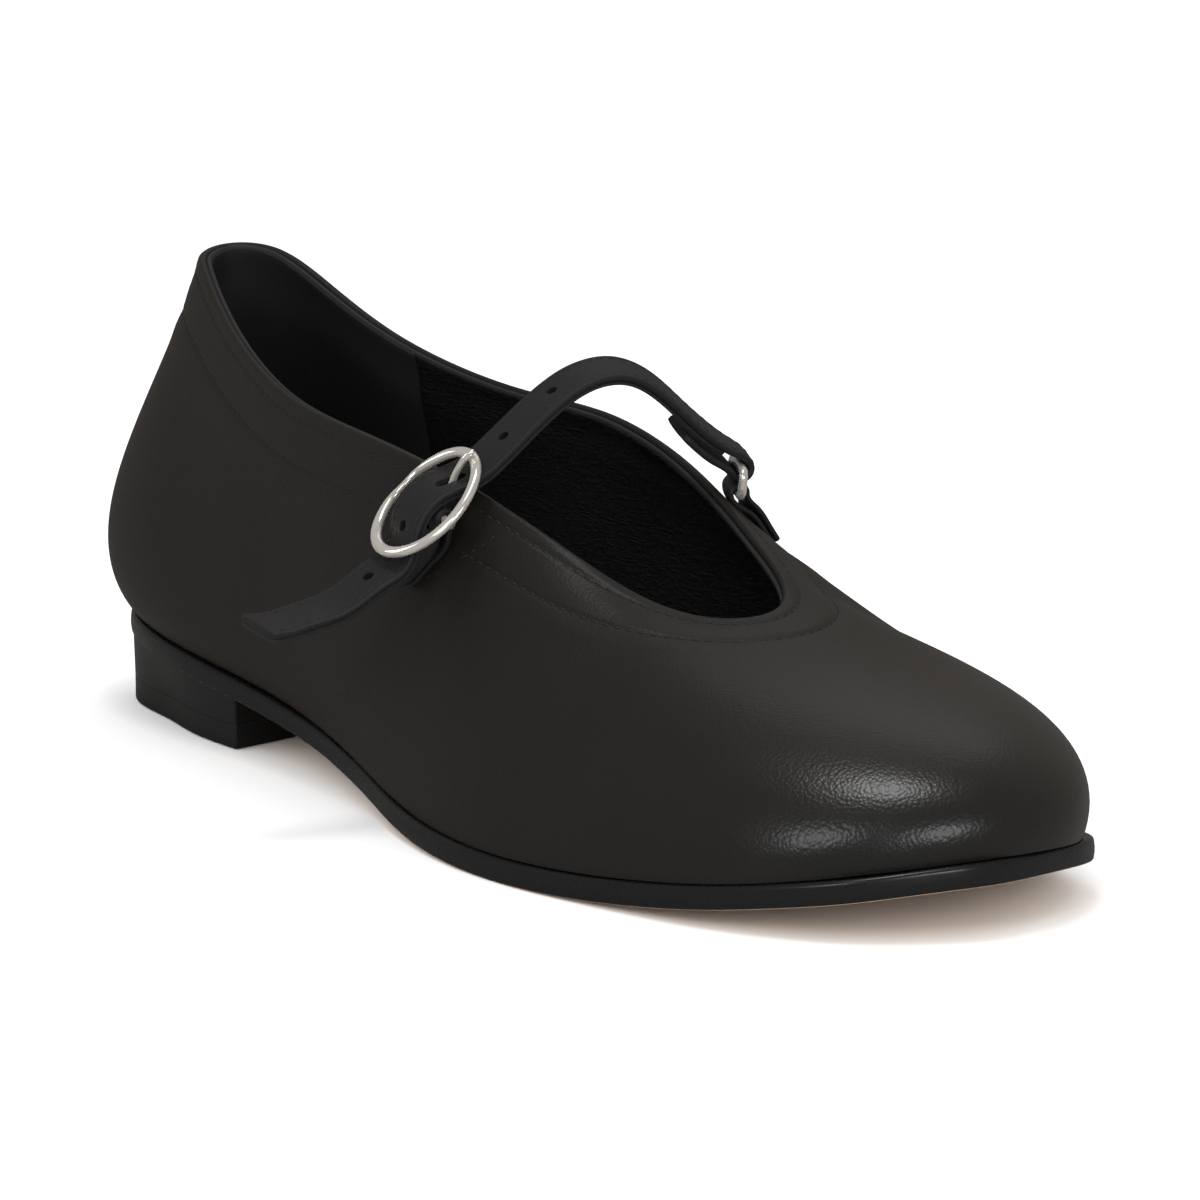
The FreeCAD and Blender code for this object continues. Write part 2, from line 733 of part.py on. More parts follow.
def heel_nail(x, y):
    head_z = deck(x) + INSOLE_TOP - RECESS_DEPTH + 0.02
    shaft_z = NAIL_LOW + NAIL_POINT
    shaft = Part.makeCylinder(NAIL_RADIUS, head_z - shaft_z, Vector(x, y, shaft_z))
    tip = Part.makeCone(NAIL_RADIUS * 0.25, NAIL_RADIUS, NAIL_POINT, Vector(x, y, NAIL_LOW))
    head = Part.makeCylinder(HEAD_RADIUS, HEAD_THICK, Vector(x, y, head_z))
    return tip.fuse(shaft).fuse(head).removeSplitter()


def lift_pin(x, y):
    point_z = PIN_TOP - PIN_POINT
    shaft = Part.makeCylinder(PIN_RADIUS, point_z - PIN_LOW, Vector(x, y, PIN_LOW))
    tip = Part.makeCone(PIN_RADIUS, PIN_RADIUS * 0.25, PIN_POINT, Vector(x, y, point_z))
    return shaft.fuse(tip).removeSplitter()


drill_nail_holes()
drill_pin_holes()
add_feature("heel_nails", Part.makeCompound([heel_nail(x, y) for x, y in NAILS]))
add_feature("lift_pins", Part.makeCompound([lift_pin(x, y) for x, y in PINS]))

# ---------------------------------------------------------------- strap plane and buckle axes
# The strap's centre line lies in an upright plane across the shoe: q runs along the plane to
# the inner side and z up. A path row is (q, z, pitch, shift, yaw): shift moves it forward off
# the plane; pitch and yaw (degrees) turn the width down at the front and towards the inner
# side. Shift and yaw are 0 where left out.
STRAP_ORIGIN = Vector(103.0 * SCALE, -31.8 * SCALE, 0)
ALONG = Vector(0.129, 0.992, 0)
ALONG.normalize()
FORWARD = Vector(ALONG.y, -ALONG.x, 0)
UP = Vector(0, 0, 1)


def strap_point(q, z, shift=0.0):
    return STRAP_ORIGIN + ALONG * q + UP * z + FORWARD * shift


def across_dir(pitch, yaw):
    """Direction of a ribbon's width."""
    pitch, yaw = math.radians(pitch), math.radians(yaw)
    level = FORWARD * math.cos(yaw) + ALONG * math.sin(yaw)
    return level * math.cos(pitch) - UP * math.sin(pitch)


def square_to(direction, axis):
    """Unit vector: the direction with its part along the axis taken out."""
    result = direction - axis * direction.dot(axis)
    result.normalize()
    return result


RING_CENTRE = (-0.3, 56.6)   # q, z
RING_DIR = (0.6884, 0.7254)  # q, z of the ring's long axis
BAR_DROP = dim("bar_drop")   # of the bar below the ring's middle
BAR_RADIUS = dim("bar_dia") / 2.0


def ring_row(along, above, *pitch):
    """Path row from distances along and above the ring's middle."""
    q = RING_CENTRE[0] + RING_DIR[0] * along - RING_DIR[1] * above
    z = RING_CENTRE[1] + RING_DIR[1] * along + RING_DIR[0] * above
    return (q, z) + pitch


# buckle axes: long axis of the ring, axis of the bar, and up out of the ring
BAR = ring_row(0.0, -BAR_DROP)
BAR_POINT = strap_point(*BAR)
BAR_DIR = across_dir(dim("buckle_pitch_deg"), 0.0)
LONG_DIR = square_to(ALONG * RING_DIR[0] + UP * RING_DIR[1], BAR_DIR)
LIFT_DIR = BAR_DIR.cross(LONG_DIR)
BUCKLE_MATRIX = FreeCAD.Matrix(
    LONG_DIR.x, BAR_DIR.x, LIFT_DIR.x, BAR_POINT.x,
    LONG_DIR.y, BAR_DIR.y, LIFT_DIR.y, BAR_POINT.y,
    LONG_DIR.z, BAR_DIR.z, LIFT_DIR.z, BAR_POINT.z,
    0, 0, 0, 1,
)


def buckle_point(along, above, across=0.0):
    """Point from distances off the middle of the bar."""
    return BAR_POINT + LONG_DIR * along + LIFT_DIR * above + BAR_DIR * across


# ---------------------------------------------------------------- ribbons
def path_samples(path, count):
    """Even samples (q, z, tangent q, tangent z, pitch, shift, yaw) of a path, and its length."""
    path = [tuple(row) + (0.0,) * (5 - len(row)) for row in path]
    stations = running_length(path)
    line = curve([Vector(row[0], row[1], 0) for row in path], stations=stations)
    extras = [
        curve([Vector(row[col], k, 0) for row, k in zip(path, stations)], stations=stations)
        for col in (2, 3, 4)
    ]
    length = line.length()
    samples = []
    for i in range(count):
        if i < count - 1:
            t = line.parameterAtDistance(length * i / (count - 1.0), line.FirstParameter)
        else:
            t = line.LastParameter
        point, tangent = line.value(t), line.tangent(t)[0]
        samples.append((point.x, point.y, tangent.x, tangent.y)
                       + tuple(extra.value(t).x for extra in extras))
    return samples, length


def path_normal(tangent_q, tangent_z, across):
    return square_to(ALONG * (-tangent_z) + UP * tangent_q, across)


def ribbon(samples, low, high, width):
    """Ribbon along sampled path, its thickness from low to high along the path's normal."""
    outer, inner = [], []
    for q, z, tangent_q, tangent_z, pitch, shift, yaw in samples:
        across = across_dir(pitch, yaw)
        base = strap_point(q, z, shift)
        normal = path_normal(tangent_q, tangent_z, across)
        for grid, level in ((outer, high), (inner, low)):
            grid.append([
                base + normal * level + across * (width * (j / 4.0 - 0.5)) for j in range(5)
            ])
    return layer(outer, inner)


# ---------------------------------------------------------------- strap
LINK_UPPER, LINK_LOWER = (60.7, 58.9), (60.3, 54.3)  # q, z of the link's two bars
LINK_YAW, LINK_PITCH = -20.0, 4.0
LINK_RADIUS = dim("link_wire") / 2.0
SKIN = dim("strap_skin")
BACK_GAP = 0.12  # between the strap's leather and its lining

# centre line of the leather: tail tip, under the ring, over the bar, across the instep
STRAP_PATH = [
    (-33.2, 37.9, 11.0), (-28.3, 37.9, 11.0), (-23.4, 38.9, 11.0), (-18.7, 40.0, 12.0),
    (-14.0, 42.3, 12.0),
    ring_row(-15.1, -1.15, 13.0), ring_row(-12.4, -2.1, 13.0), ring_row(-9.6, -2.0, 13.0),
    ring_row(-6.5, -0.5, 13.0), ring_row(-2.6, 1.25, 13.0), ring_row(0.6, 1.35, 13.0),
    ring_row(3.6, 0.35, 13.0), ring_row(6.6, -1.4, 12.0), ring_row(9.6, -2.8, 11.0),
    (12.0, 64.2, 10.0), (16.0, 67.5, 9.0), (20.0, 70.8, 8.0), (24.0, 73.7, 8.0),
    (28.0, 75.9, 9.0), (32.5, 77.2, 11.0), (37.0, 77.2, 15.0, 0.0, -1.0),
    (42.0, 75.3, 20.0, 0.0, -4.0), (46.5, 72.0, 22.0, 0.0, -7.0),
    (50.6, 68.3, 19.0, 0.0, -11.0), (54.6, 65.0, 14.0, 0.0, -15.0),
    (58.6, 62.3, 8.0, 0.0, -19.0),
]
# the turned-back end, after the fold round the link's upper bar
STRAP_RETURN = [
    (57.9, 59.0, 6.0, 0.0, -19.0), (54.9, 61.0, 10.0, 0.0, -16.0),
    (51.4, 63.6, 14.0, 0.0, -12.0), (48.4, 66.3, 17.0, 0.0, -9.0),
]
LINING_END = (57.6, 62.95, 9.0, 0.0, -18.0)


def link_row(centre, radius, degrees):
    """Path row on a circle round a bar of the link, widened in q because the bar is yawed."""
    angle = math.radians(degrees)
    radius_q = radius / math.cos(math.radians(LINK_YAW))
    return (centre[0] + radius_q * math.cos(angle), centre[1] + radius * math.sin(angle),
            LINK_PITCH, 0.0, LINK_YAW)


def prong_slot():
    """Obround cutter along the ring's long axis."""
    width, depth, low, start, length = 2.1, 9.0, -3.0, 4.2, 3.0
    slot = Part.makeBox(length, width, depth, Vector(start, -width / 2.0, low))
    for x in (start, start + length):
        slot = slot.fuse(Part.makeCylinder(width / 2.0, depth, Vector(x, 0, low)))
    return slot.transformGeometry(BUCKLE_MATRIX)


def hole_cutters(samples, length):
    """Round holes, two at each side of the prong's place."""
    q, z = ring_row(6.0, -0.9)
    last = len(samples) - 1.0
    nearest = min(
        range(len(samples) * 3 // 4),
        key=lambda i: (samples[i][0] - q) ** 2 + (samples[i][1] - z) ** 2,
    )
    prong_arc = length * nearest / last
    cutters = []
    for k in (-2, -1, 1, 2):
        arc = prong_arc + k * dim("hole_pitch")
        q, z, tangent_q, tangent_z, pitch = samples[int(round(arc / length * last))][:5]
        normal = path_normal(tangent_q, tangent_z, across_dir(pitch, 0.0))
        start = strap_point(q, z) - normal * 3.2
        cutters.append(Part.makeCylinder(dim("hole_dia") / 2.0, 6.0, start, normal))
    return cutters


def strap_layers():
    """Strap leather and the lining on its underside, with the slot and holes cut."""
    fold_radius = LINK_RADIUS + 0.35 + SKIN / 2.0
    fold = [link_row(LINK_UPPER, fold_radius, angle)
            for angle in (48, 22, -6, -36, -66, -96, -124)]
    samples, length = path_samples(STRAP_PATH + fold + STRAP_RETURN, 130)
    leather = ribbon(samples, -SKIN / 2.0, SKIN / 2.0, dim("strap_width"))
    back_samples, _ = path_samples(STRAP_PATH[:-1] + [LINING_END], 80)
    back_top = -SKIN / 2.0 - BACK_GAP
    back = ribbon(
        back_samples, back_top - dim("strap_back"), back_top, dim("strap_width") - 0.6)
    for cutter in [prong_slot()] + hole_cutters(samples, length):
        leather = leather.cut(cutter)
        back = back.cut(cutter)
    return leather.Solids[0], back.Solids[0]


strap_leather, strap_lining = strap_layers()
add_feature("strap_leather", strap_leather)
add_feature("strap_lining", strap_lining)


# ---------------------------------------------------------------- buckle
def buckle_frame():
    """Oval wire ring rising at both ends, with a round centre bar on short posts."""
    wire = dim("ring_wire") / 2.0
    half_long = dim("ring_long") / 2.0 - wire
    half_wide = dim("ring_wide") / 2.0 - wire

    def centre_at(angle):
        return buckle_point(
            half_long * math.cos(angle),
            BAR_DROP + dim("ring_dome") * math.cos(angle) ** 2,
            half_wide * math.sin(angle),
        )

    grid = []
    for i in range(40):
        angle = 2 * math.pi * i / 40.0
        centre = centre_at(angle)
        tangent = centre_at(angle + 1e-3) - centre
        tangent.normalize()
        out = LIFT_DIR.cross(tangent)
        out.normalize()
        rising = tangent.cross(out)
        grid.append([
            centre
            + out * (wire * math.cos(2 * math.pi * k / 10.0))
            + rising * (wire * 0.92 * math.sin(2 * math.pi * k / 10.0))
            for k in range(10)
        ])
    ring = tube(grid)
    bar_half = half_wide - 1.9
    bar = Part.makeCylinder(BAR_RADIUS, 2 * bar_half, buckle_point(0, 0, -bar_half), BAR_DIR)
    for side in (-1.0, 1.0):
        foot = buckle_point(0, 0, side * bar_half)
        post = buckle_point(0, BAR_DROP, side * half_wide) - foot
        bar = bar.fuse(Part.makeSphere(BAR_RADIUS, foot))
        bar = bar.fuse(Part.makeCylinder(BAR_RADIUS, post.Length, foot, post))
    return ring.fuse(bar)


# centre line of the prong's tongue: distances along and above, off the bar
TONGUE_PATH = [
    (1.3, 0.1), (3.0, 0.15), (4.8, 0.75), (6.6, 1.8), (8.8, 3.2), (11.0, 4.05), (12.4, 4.0),
]


def prong_tongue():
    """Round tongue, slightly thinner at its root and tapered over its last fifth."""
    stations = running_length(TONGUE_PATH)
    line = curve(flat(TONGUE_PATH), stations=stations)
    grid = []
    for i in range(25):
        t = stations[-1] * i / 24.0
        centre, tangent = line.value(t), line.tangent(t)[0]
        radius = dim("prong_dia") / 2.0
        if i >= 20:
            radius *= 1.0 - 0.35 * (i - 19) / 5.0
        elif i < 2:
            radius = min(radius, 0.65)
        ring = []
        for k in range(10):
            angle = 2 * math.pi * k / 10.0
            off = radius * math.sin(angle)
            ring.append(buckle_point(centre.x - tangent.y * off, centre.y + tangent.x * off,
                                     radius * math.cos(angle)))
        grid.append(ring)
    side = surface(list(zip(*grid)), True, False).toShape()
    ends = [Part.Face(Part.Wire([curve(grid[i], True).toShape()])) for i in (0, -1)]
    return close_up([side] + ends)


def buckle_prong():
    """Eye round the bar, with a tongue rising through the strap to rest on the ring."""
    eye_inner = BAR_RADIUS + 0.15
    eye_outer = eye_inner + 0.8

    def cylinder(radius, width):
        return Part.makeCylinder(radius, width, buckle_point(0, 0, -width / 2.0), BAR_DIR)

    eye = cylinder(eye_outer, 2.0).cut(cylinder(eye_inner, 3.0))
    return eye.fuse(prong_tongue().cut(cylinder(eye_inner, 4.0)))


add_feature("buckle_frame", buckle_frame())
add_feature("buckle_prong", buckle_prong())

# ---------------------------------------------------------------- chape and tab on the walls
OUTER_SIDE, INNER_SIDE = -1, 1
CHAPE_THICK = dim("chape_thick")
NEAR_LEG = 0.6 + CHAPE_THICK / 2.0        # centre line of the leg against the wall
FAR_LEG = 0.6 + CHAPE_THICK * 1.5 + 0.3   # centre line of the leg outside it


def wall_section(side, shift):
    """Outside face (q, z) in the upright plane at a shift, from the topline down."""
    section = []
    base = 0.318 if side < 0 else 0.672
    for j in range(33):
        climb = 1.0 - j / 40.0
        low, high = base - 0.09, base + 0.09
        for _ in range(40):
            middle = 0.5 * (low + high)
            ahead = (skin_point(middle, climb) - STRAP_ORIGIN).dot(FORWARD) - shift
            if (ahead < 0) == (side < 0):
                low = middle
            else:
                high = middle
        point = skin_point(0.5 * (low + high), climb)
        section.append(((point - STRAP_ORIGIN).dot(ALONG), point.z))
    return section


def wall_at(section, z, off):
    """Point a distance off the wall, at about height z."""
    for (q_high, z_high), (q_low, z_low) in zip(section, section[1:]):
        if z_high >= z >= z_low:
            part = (z_high - z) / (z_high - z_low)
            q = q_high + part * (q_low - q_high)
            run_q, run_z = q_low - q_high, z_low - z_high
            length = math.hypot(run_q, run_z)
            normal_q, normal_z = run_z / length, -run_q / length
            # q = 30 is between the walls, so the normal has to point away from it
            if (normal_q > 0) != (q > 30):
                normal_q, normal_z = -normal_q, -normal_z
            return (q + normal_q * off, z + normal_z * off)
    raise RuntimeError("wall height out of range")


def on_wall(side, height, shift, pitch, off):
    """Path row a distance off the wall, yawed so that the ribbon's width follows the wall."""
    section = wall_section(side, shift)
    q, z = wall_at(section, height, off)

    def wall_q(at_section, at_height):
        return wall_at(at_section, at_height, 0.0)[0]

    ahead, behind = wall_section(side, shift + 4.0), wall_section(side, shift - 4.0)
    slope_forward = (wall_q(ahead, height) - wall_q(behind, height)) / 8.0
    slope_up = (wall_q(section, height + 2.5) - wall_q(section, height - 2.5)) / 5.0
    sine = slope_forward - math.tan(math.radians(pitch)) * slope_up
    return (q, z, pitch, shift, math.degrees(math.asin(max(-0.9, min(0.9, sine)))))


# legs of the chape, from the lower end up: height, shift, pitch, extra distance off the wall
CHAPE_LEG = [(43.4, -9.6, 40.0, 0.0), (45.6, -7.6, 38.0, 0.0), (48.0, -5.4, 34.0, 0.25)]


def doubled_leather(path, width, count):
    samples, _ = path_samples(path, count)
    return ribbon(samples, -CHAPE_THICK / 2.0, CHAPE_THICK / 2.0, width)


def buckle_chape():
    """Leather doubled round the bar, its legs on the outer wall, slotted for the prong."""
    def leg(distance):
        return [on_wall(OUTER_SIDE, height, shift, pitch, distance + extra)
                for height, shift, pitch, extra in CHAPE_LEG]

    radius = BAR_RADIUS + 0.2 + CHAPE_THICK / 2.0
    path = leg(NEAR_LEG) + [(2.9, 51.0, 27.0, -2.8, 0.0)]
    for degrees in (-35, -5, 30, 65, 100, 135, 170, 200):
        angle = math.radians(degrees)
        path.append((BAR[0] + radius * math.cos(angle), BAR[1] + radius * math.sin(angle), 13.0))
    path += [(0.9, 51.2, 27.0, -2.8, 0.0)] + leg(FAR_LEG)[::-1]
    chape = doubled_leather(path, dim("chape_width"), 90)
    slot = Part.makeBox(6.0, 2.7, 5.2, Vector(-3.0, -1.35, -2.2))
    chape = chape.cut(slot.transformGeometry(BUCKLE_MATRIX))
    return chape.Solids[0] if len(chape.Solids) == 1 else chape


def medial_tab():
    """Leather doubled round the link's lower bar, its legs on the inner wall."""
    def leg(rows):
        return [on_wall(INNER_SIDE, height, 0.0, 0.0, off) for height, off in rows]

    radius = LINK_RADIUS + 0.3 + CHAPE_THICK / 2.0
    path = leg([(44.0, NEAR_LEG), (47.0, NEAR_LEG), (49.6, NEAR_LEG + 0.1)])
    path += [link_row(LINK_LOWER, radius, angle) for angle in (196, 160, 125, 90, 55, 20, -10)]
    path += leg([(49.8, FAR_LEG + 0.45), (47.0, FAR_LEG + 0.1), (44.0, FAR_LEG)])
    return doubled_leather(path, dim("chape_width") - 1.4, 80)


def link_ring():
    """Round wire bent to a rectangle with rounded corners, its two bars across the strap."""
    half = dim("link_wide") / 2.0 - LINK_RADIUS
    corner = 1.5
    rise_q, rise_z = LINK_UPPER[0] - LINK_LOWER[0], LINK_UPPER[1] - LINK_LOWER[1]
    top = math.hypot(rise_q, rise_z)
    bar_dir = across_dir(LINK_PITCH, LINK_YAW)
    rise_dir = square_to(ALONG * rise_q + UP * rise_z, bar_dir)

    def point(across, above):
        return strap_point(*LINK_LOWER) + bar_dir * across + rise_dir * above

    straight = half - corner
    ends = [
        point(-straight, 0), point(straight, 0), point(half, corner), point(half, top - corner),
        point(straight, top), point(-straight, top), point(-half, top - corner),
        point(-half, corner),
    ]
    cut_in = corner * (1 - math.sqrt(0.5))
    side = half - cut_in
    arc_middles = [
        point(side, cut_in), point(side, top - cut_in),
        point(-side, top - cut_in), point(-side, cut_in),
    ]
    edges = []
    for i, middle in enumerate(arc_middles):
        start, end, following = ends[2 * i], ends[2 * i + 1], ends[(2 * i + 2) % 8]
        edges.append(Part.makeLine(start, end))
        edges.append(Part.Arc(end, middle, following).toShape())
    profile = Part.Wire([Part.makeCircle(LINK_RADIUS, ends[0], bar_dir)])
    return outside_out(Part.Wire(edges).makePipeShell([profile], True, True))


add_feature("buckle_chape", buckle_chape())
add_feature("medial_tab", medial_tab())
add_feature("link_ring", link_ring())


# ---------------------------------------------------------------- checks and export
def check_document():
    bad = []
    for item in doc.Objects:
        for state in item.State:
            if state in ("Invalid", "Error"):
                bad.append("%s is %s" % (item.Name, state))
    for item in made:
        if item.Shape.isNull() or not item.Shape.isValid():
            bad.append("%s has no valid shape" % item.Label)
        elif not item.Shape.Solids:
            bad.append("%s has no solid" % item.Label)
    if bad:
        raise RuntimeError("; ".join(bad))


doc.recompute()
check_document()
os.makedirs("parts", exist_ok=True)
for item in made:
    item.Shape.exportStep("parts/" + item.Label + ".step")
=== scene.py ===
"""A black leather shoe with a buckled instep strap, on a pale floor.

Lengths are in millimetres until the meshes are made, in metres. The heel is at x = 0 and the toe
points along +x, the outer side of the foot is at -y, the inner side at +y, and the ground at z = 0.
"""
import bmesh
import bpy
import math
import numpy as np
from collections import namedtuple
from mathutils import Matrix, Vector


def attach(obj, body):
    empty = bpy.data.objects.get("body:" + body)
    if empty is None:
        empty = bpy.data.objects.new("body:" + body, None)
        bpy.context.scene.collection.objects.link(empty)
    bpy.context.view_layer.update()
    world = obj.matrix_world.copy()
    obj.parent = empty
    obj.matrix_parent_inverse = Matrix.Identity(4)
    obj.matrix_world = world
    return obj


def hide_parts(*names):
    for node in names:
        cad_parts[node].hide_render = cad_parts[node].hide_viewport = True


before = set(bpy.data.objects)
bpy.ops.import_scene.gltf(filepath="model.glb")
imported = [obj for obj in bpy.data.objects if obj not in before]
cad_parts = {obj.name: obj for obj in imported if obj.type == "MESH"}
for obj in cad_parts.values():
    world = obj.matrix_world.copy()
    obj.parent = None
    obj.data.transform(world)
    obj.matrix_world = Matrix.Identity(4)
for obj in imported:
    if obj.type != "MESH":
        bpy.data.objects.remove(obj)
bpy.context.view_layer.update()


bpy.context.view_layer.update()

# ------------------------------------------------------------------ shape tables
# Every outline starts at the heel and runs along the outer side to the toe and back.
# Foot of the upper: x, y
FEATHER = [
    (-28.2, 0), (-25.9, -13.5), (-14.6, -22.5), (12, -27.7), (45, -27.2),
    (77, -31.8), (110, -40.8), (142, -43.9), (173, -38), (201, -25.6),
    (218, 3), (206.3, 28), (175, 41.2), (142, 41.2), (110, 31.9),
    (77, 24.4), (45, 23.8), (12, 24.8), (-14, 20.4), (-25, 12.3),
]
# Rim of the upper, one row per feather point: x, y, z
TOPLINE = [
    (-18.5, 0, 86.3), (-12.3, -8.5, 85.7), (-2, -14, 83.6), (18, -20.3, 75.3),
    (46, -25.4, 67), (75, -26.4, 63.3), (105, -23.3, 57.4), (126, -16.7, 48.8),
    (138, -10.2, 42.8), (147, -3.5, 40.5), (152.3, 4, 41.2), (147.5, 12, 43),
    (138, 17, 46), (125, 20.7, 50), (103, 25.4, 56.8), (75, 27, 62.8),
    (46, 25.2, 64.4), (18, 17.9, 71.3), (-2, 11.9, 81.7), (-13, 7.4, 86.2),
]
# Bezier handles of the wall, one row per feather point:
# lower handle outward and up from the feather, upper handle outward and down from the topline
HANDLES = [
    (8.03, 23.85, 4.4, 22.68), (11, 22.2, 5.26, 23.41), (14.2, 17.39, 7.19, 23.27),
    (13.6, 11.11, 3.9, 20.45), (11.6, 7.54, 3.08, 16.39), (6.6, 6.58, 3.07, 14.31),
    (3.04, 7.06, 3.86, 11.37), (1.34, 7.84, 9.49, 7.71), (1.74, 9.99, 16.99, 4.53),
    (3.14, 12.83, 26.47, 5.11), (5.27, 17.53, 32.17, 8.78), (6.99, 20.73, 26.62, 10.07),
    (7.8, 24.36, 18.42, 13.52), (7.41, 27.21, 14.62, 9.88), (5.98, 26.54, 8.27, 11.21),
    (5.88, 24.54, 6.2, 12.26), (6.43, 22.9, 4.9, 13.44), (6.79, 23.38, 4.87, 17.18),
    (7.95, 25.23, 8.15, 20.31), (8, 25.47, 5.68, 21.56),
]
# Outline of the outsole: x, y
SOLE_EDGE = [
    (-29.7, 0), (-26.9, -12.9), (-18.4, -21.2), (-6.4, -25.9), (7.3, -28.3),
    (21.6, -28.9), (38.1, -28.5), (56.8, -28.9), (70.98, -31.01), (85.34, -34.49),
    (99.53, -38.86), (113.79, -42.74), (128.23, -44.97), (142.75, -44.99), (157.21, -42.97),
    (171.51, -39.64), (185.83, -35.32), (198.68, -28.77), (208.58, -20.93), (215.57, -10.42),
    (219.02, 0.66), (215.53, 14.75), (209.5, 26.7), (199.8, 35), (186.18, 39.36),
    (171.79, 43.01), (157.31, 44.09), (142.83, 42.52), (128.51, 39.08), (114.32, 34.68),
    (100.13, 30.24), (85.85, 26.57), (71.34, 24.51), (57.13, 24.06), (38.49, 24.77),
    (21.9, 25.57), (7.55, 25.56), (-5.68, 24), (-17.03, 19.52), (-26.23, 11.73),
]
# Height of the outsole's underside at every 10 mm of x
SOLE_RISE_X = np.arange(-40.0, 231.0, 10.0)
SOLE_RISE = [
    14.562, 14.374, 13.908, 13.318, 12.599, 11.748, 10.758, 9.625, 8.358, 7.022,
    5.695, 4.439, 3.306, 2.334, 1.530, 0.893, 0.418, 0.101, -0.062, -0.028,
    0.291, 0.956, 1.958, 3.280, 4.895, 6.777, 8.900, 9.351,
]

OUTSOLE_THICKNESS = 4.0
UPPER_THICKNESS = 1.2
UPPER_GAP = 0.2  # between the outsole and the upper


# ------------------------------------------------------------------ curve tools
def unit(vectors):
    return vectors / np.maximum(np.linalg.norm(vectors, axis=-1, keepdims=True), 1e-12)


def lengths(points):
    """Distance along a line of points, starting at 0."""
    return np.r_[0, np.cumsum(np.linalg.norm(np.diff(points, axis=0), axis=1))]


def bell(x, centre, width):
    return np.exp(-((x - centre) / width) ** 2)


def smooth_step(x, start, end):
    t = np.clip((np.asarray(x, float) - start) / (end - start), 0, 1)
    return t * t * (3 - 2 * t)


class ClosedCurve:
    """Closed cubic spline through evenly spaced knots; one turn is 0 to 1."""

    def __init__(self, points):
        self.points = np.array(points, float)
        self.count = len(self.points)
        one = np.eye(self.count)
        matrix = 4 * one + np.roll(one, 1, 0) + np.roll(one, -1, 0)
        neighbours = np.roll(self.points, 1, 0) + np.roll(self.points, -1, 0)
        self.bends = np.linalg.solve(matrix, 6 * (neighbours - 2 * self.points))

    def __call__(self, around):
        x = np.mod(np.asarray(around, float), 1.0) * self.count
        i = np.floor(x).astype(int) % self.count
        j = (i + 1) % self.count
        t = (x - np.floor(x))[..., None]
        s = 1 - t
        bend = (s ** 3 - s) * self.bends[i] / 6 + (t ** 3 - t) * self.bends[j] / 6
        return s * self.points[i] + t * self.points[j] + bend

    def outward(self, around):
        """Plan normal, outward because the outlines leave the heel towards -y."""
        around = np.asarray(around)
        along = unit((self(around + 1e-4) - self(around - 1e-4))[..., :2])
        return np.stack([along[..., 1], -along[..., 0]], -1)


def natural_spline(knots, points):
    """Natural cubic spline with the given knots through points (count, columns)."""
    knots, points = np.asarray(knots, float), np.asarray(points, float)
    count = len(knots)
    gaps = np.diff(knots)
    matrix = np.eye(count)
    right = np.zeros_like(points)
    for i in range(1, count - 1):
        matrix[i, i - 1:i + 2] = gaps[i - 1], 2 * (gaps[i - 1] + gaps[i]), gaps[i]
        right[i] = 6 * ((points[i + 1] - points[i]) / gaps[i]
                        - (points[i] - points[i - 1]) / gaps[i - 1])
    bends = np.linalg.solve(matrix, right)

    def curve(x):
        x = np.asarray(x, float)
        i = np.clip(np.searchsorted(knots, x) - 1, 0, count - 2)
        s = ((knots[i + 1] - x) / gaps[i])[..., None]
        t = ((x - knots[i]) / gaps[i])[..., None]
        bend = (s ** 3 - s) * bends[i] + (t ** 3 - t) * bends[i + 1]
        return s * points[i] + t * points[i + 1] + bend * gaps[i][..., None] ** 2 / 6

    return curve


def spline_step(curve, at, last):
    """Short step along a natural spline, for its direction."""
    return curve(np.minimum(at + 1e-3, last)) - curve(np.maximum(at - 1e-3, 0))


sole_rise = natural_spline(SOLE_RISE_X, np.array(SOLE_RISE)[:, None])


def under(x):
    """Height of the outsole's underside."""
    return sole_rise(x)[..., 0]


def deck(x):
    """Height of the outsole's upper face."""
    return under(x) + OUTSOLE_THICKNESS


def over_deck(plan, height):
    return np.c_[plan, deck(plan[:, 0]) + height]


# ------------------------------------------------------------------ surface of the upper
# "around" is 0 at the heel and 0.5 at the toe; "level" is 0 at the feather and 1 at the topline.
feather = ClosedCurve(FEATHER)
sole_edge = ClosedCurve(SOLE_EDGE)


def wall_curves():
    """The four curves of Bezier points, from the feather up to the topline."""
    stations = np.arange(len(FEATHER)) / len(FEATHER)
    foot, rim, handles = np.array(FEATHER, float), np.array(TOPLINE, float), np.array(HANDLES)
    rim_outward = ClosedCurve(rim[:, :2]).outward(stations)
    foot_points = over_deck(foot, UPPER_GAP)
    lower = np.c_[foot + feather.outward(stations) * handles[:, :1],
                  foot_points[:, 2] + handles[:, 1]]
    upper = np.c_[rim[:, :2] + rim_outward * handles[:, 2:3], rim[:, 2] - handles[:, 3]]
    return [ClosedCurve(points) for points in (foot_points, lower, upper, rim)]


WALL_CURVES = wall_curves()


def skin(around, level):
    foot, lower, upper, rim = (curve(around) for curve in WALL_CURVES)
    t = np.asarray(level, float)[..., None]
    s = 1 - t
    return foot * s ** 3 + lower * 3 * t * s * s + upper * 3 * t * t * s + rim * t ** 3


def skin_frame(around, level):
    """Outward normal and upward tangent of the upper's outside face."""
    around, level = np.broadcast_arrays(np.asarray(around, float), np.asarray(level, float))
    sideways = skin(around + 1e-3, level) - skin(around - 1e-3, level)
    upward = (skin(around, np.minimum(level + 1e-3, 1))
              - skin(around, np.maximum(level - 1e-3, 0)))
    return unit(np.cross(sideways, upward)), unit(upward)


def at_depth(around, level, depth):
    normal, _ = skin_frame(around, level)
    return skin(around, level) - normal * np.asarray(depth, float)[..., None]


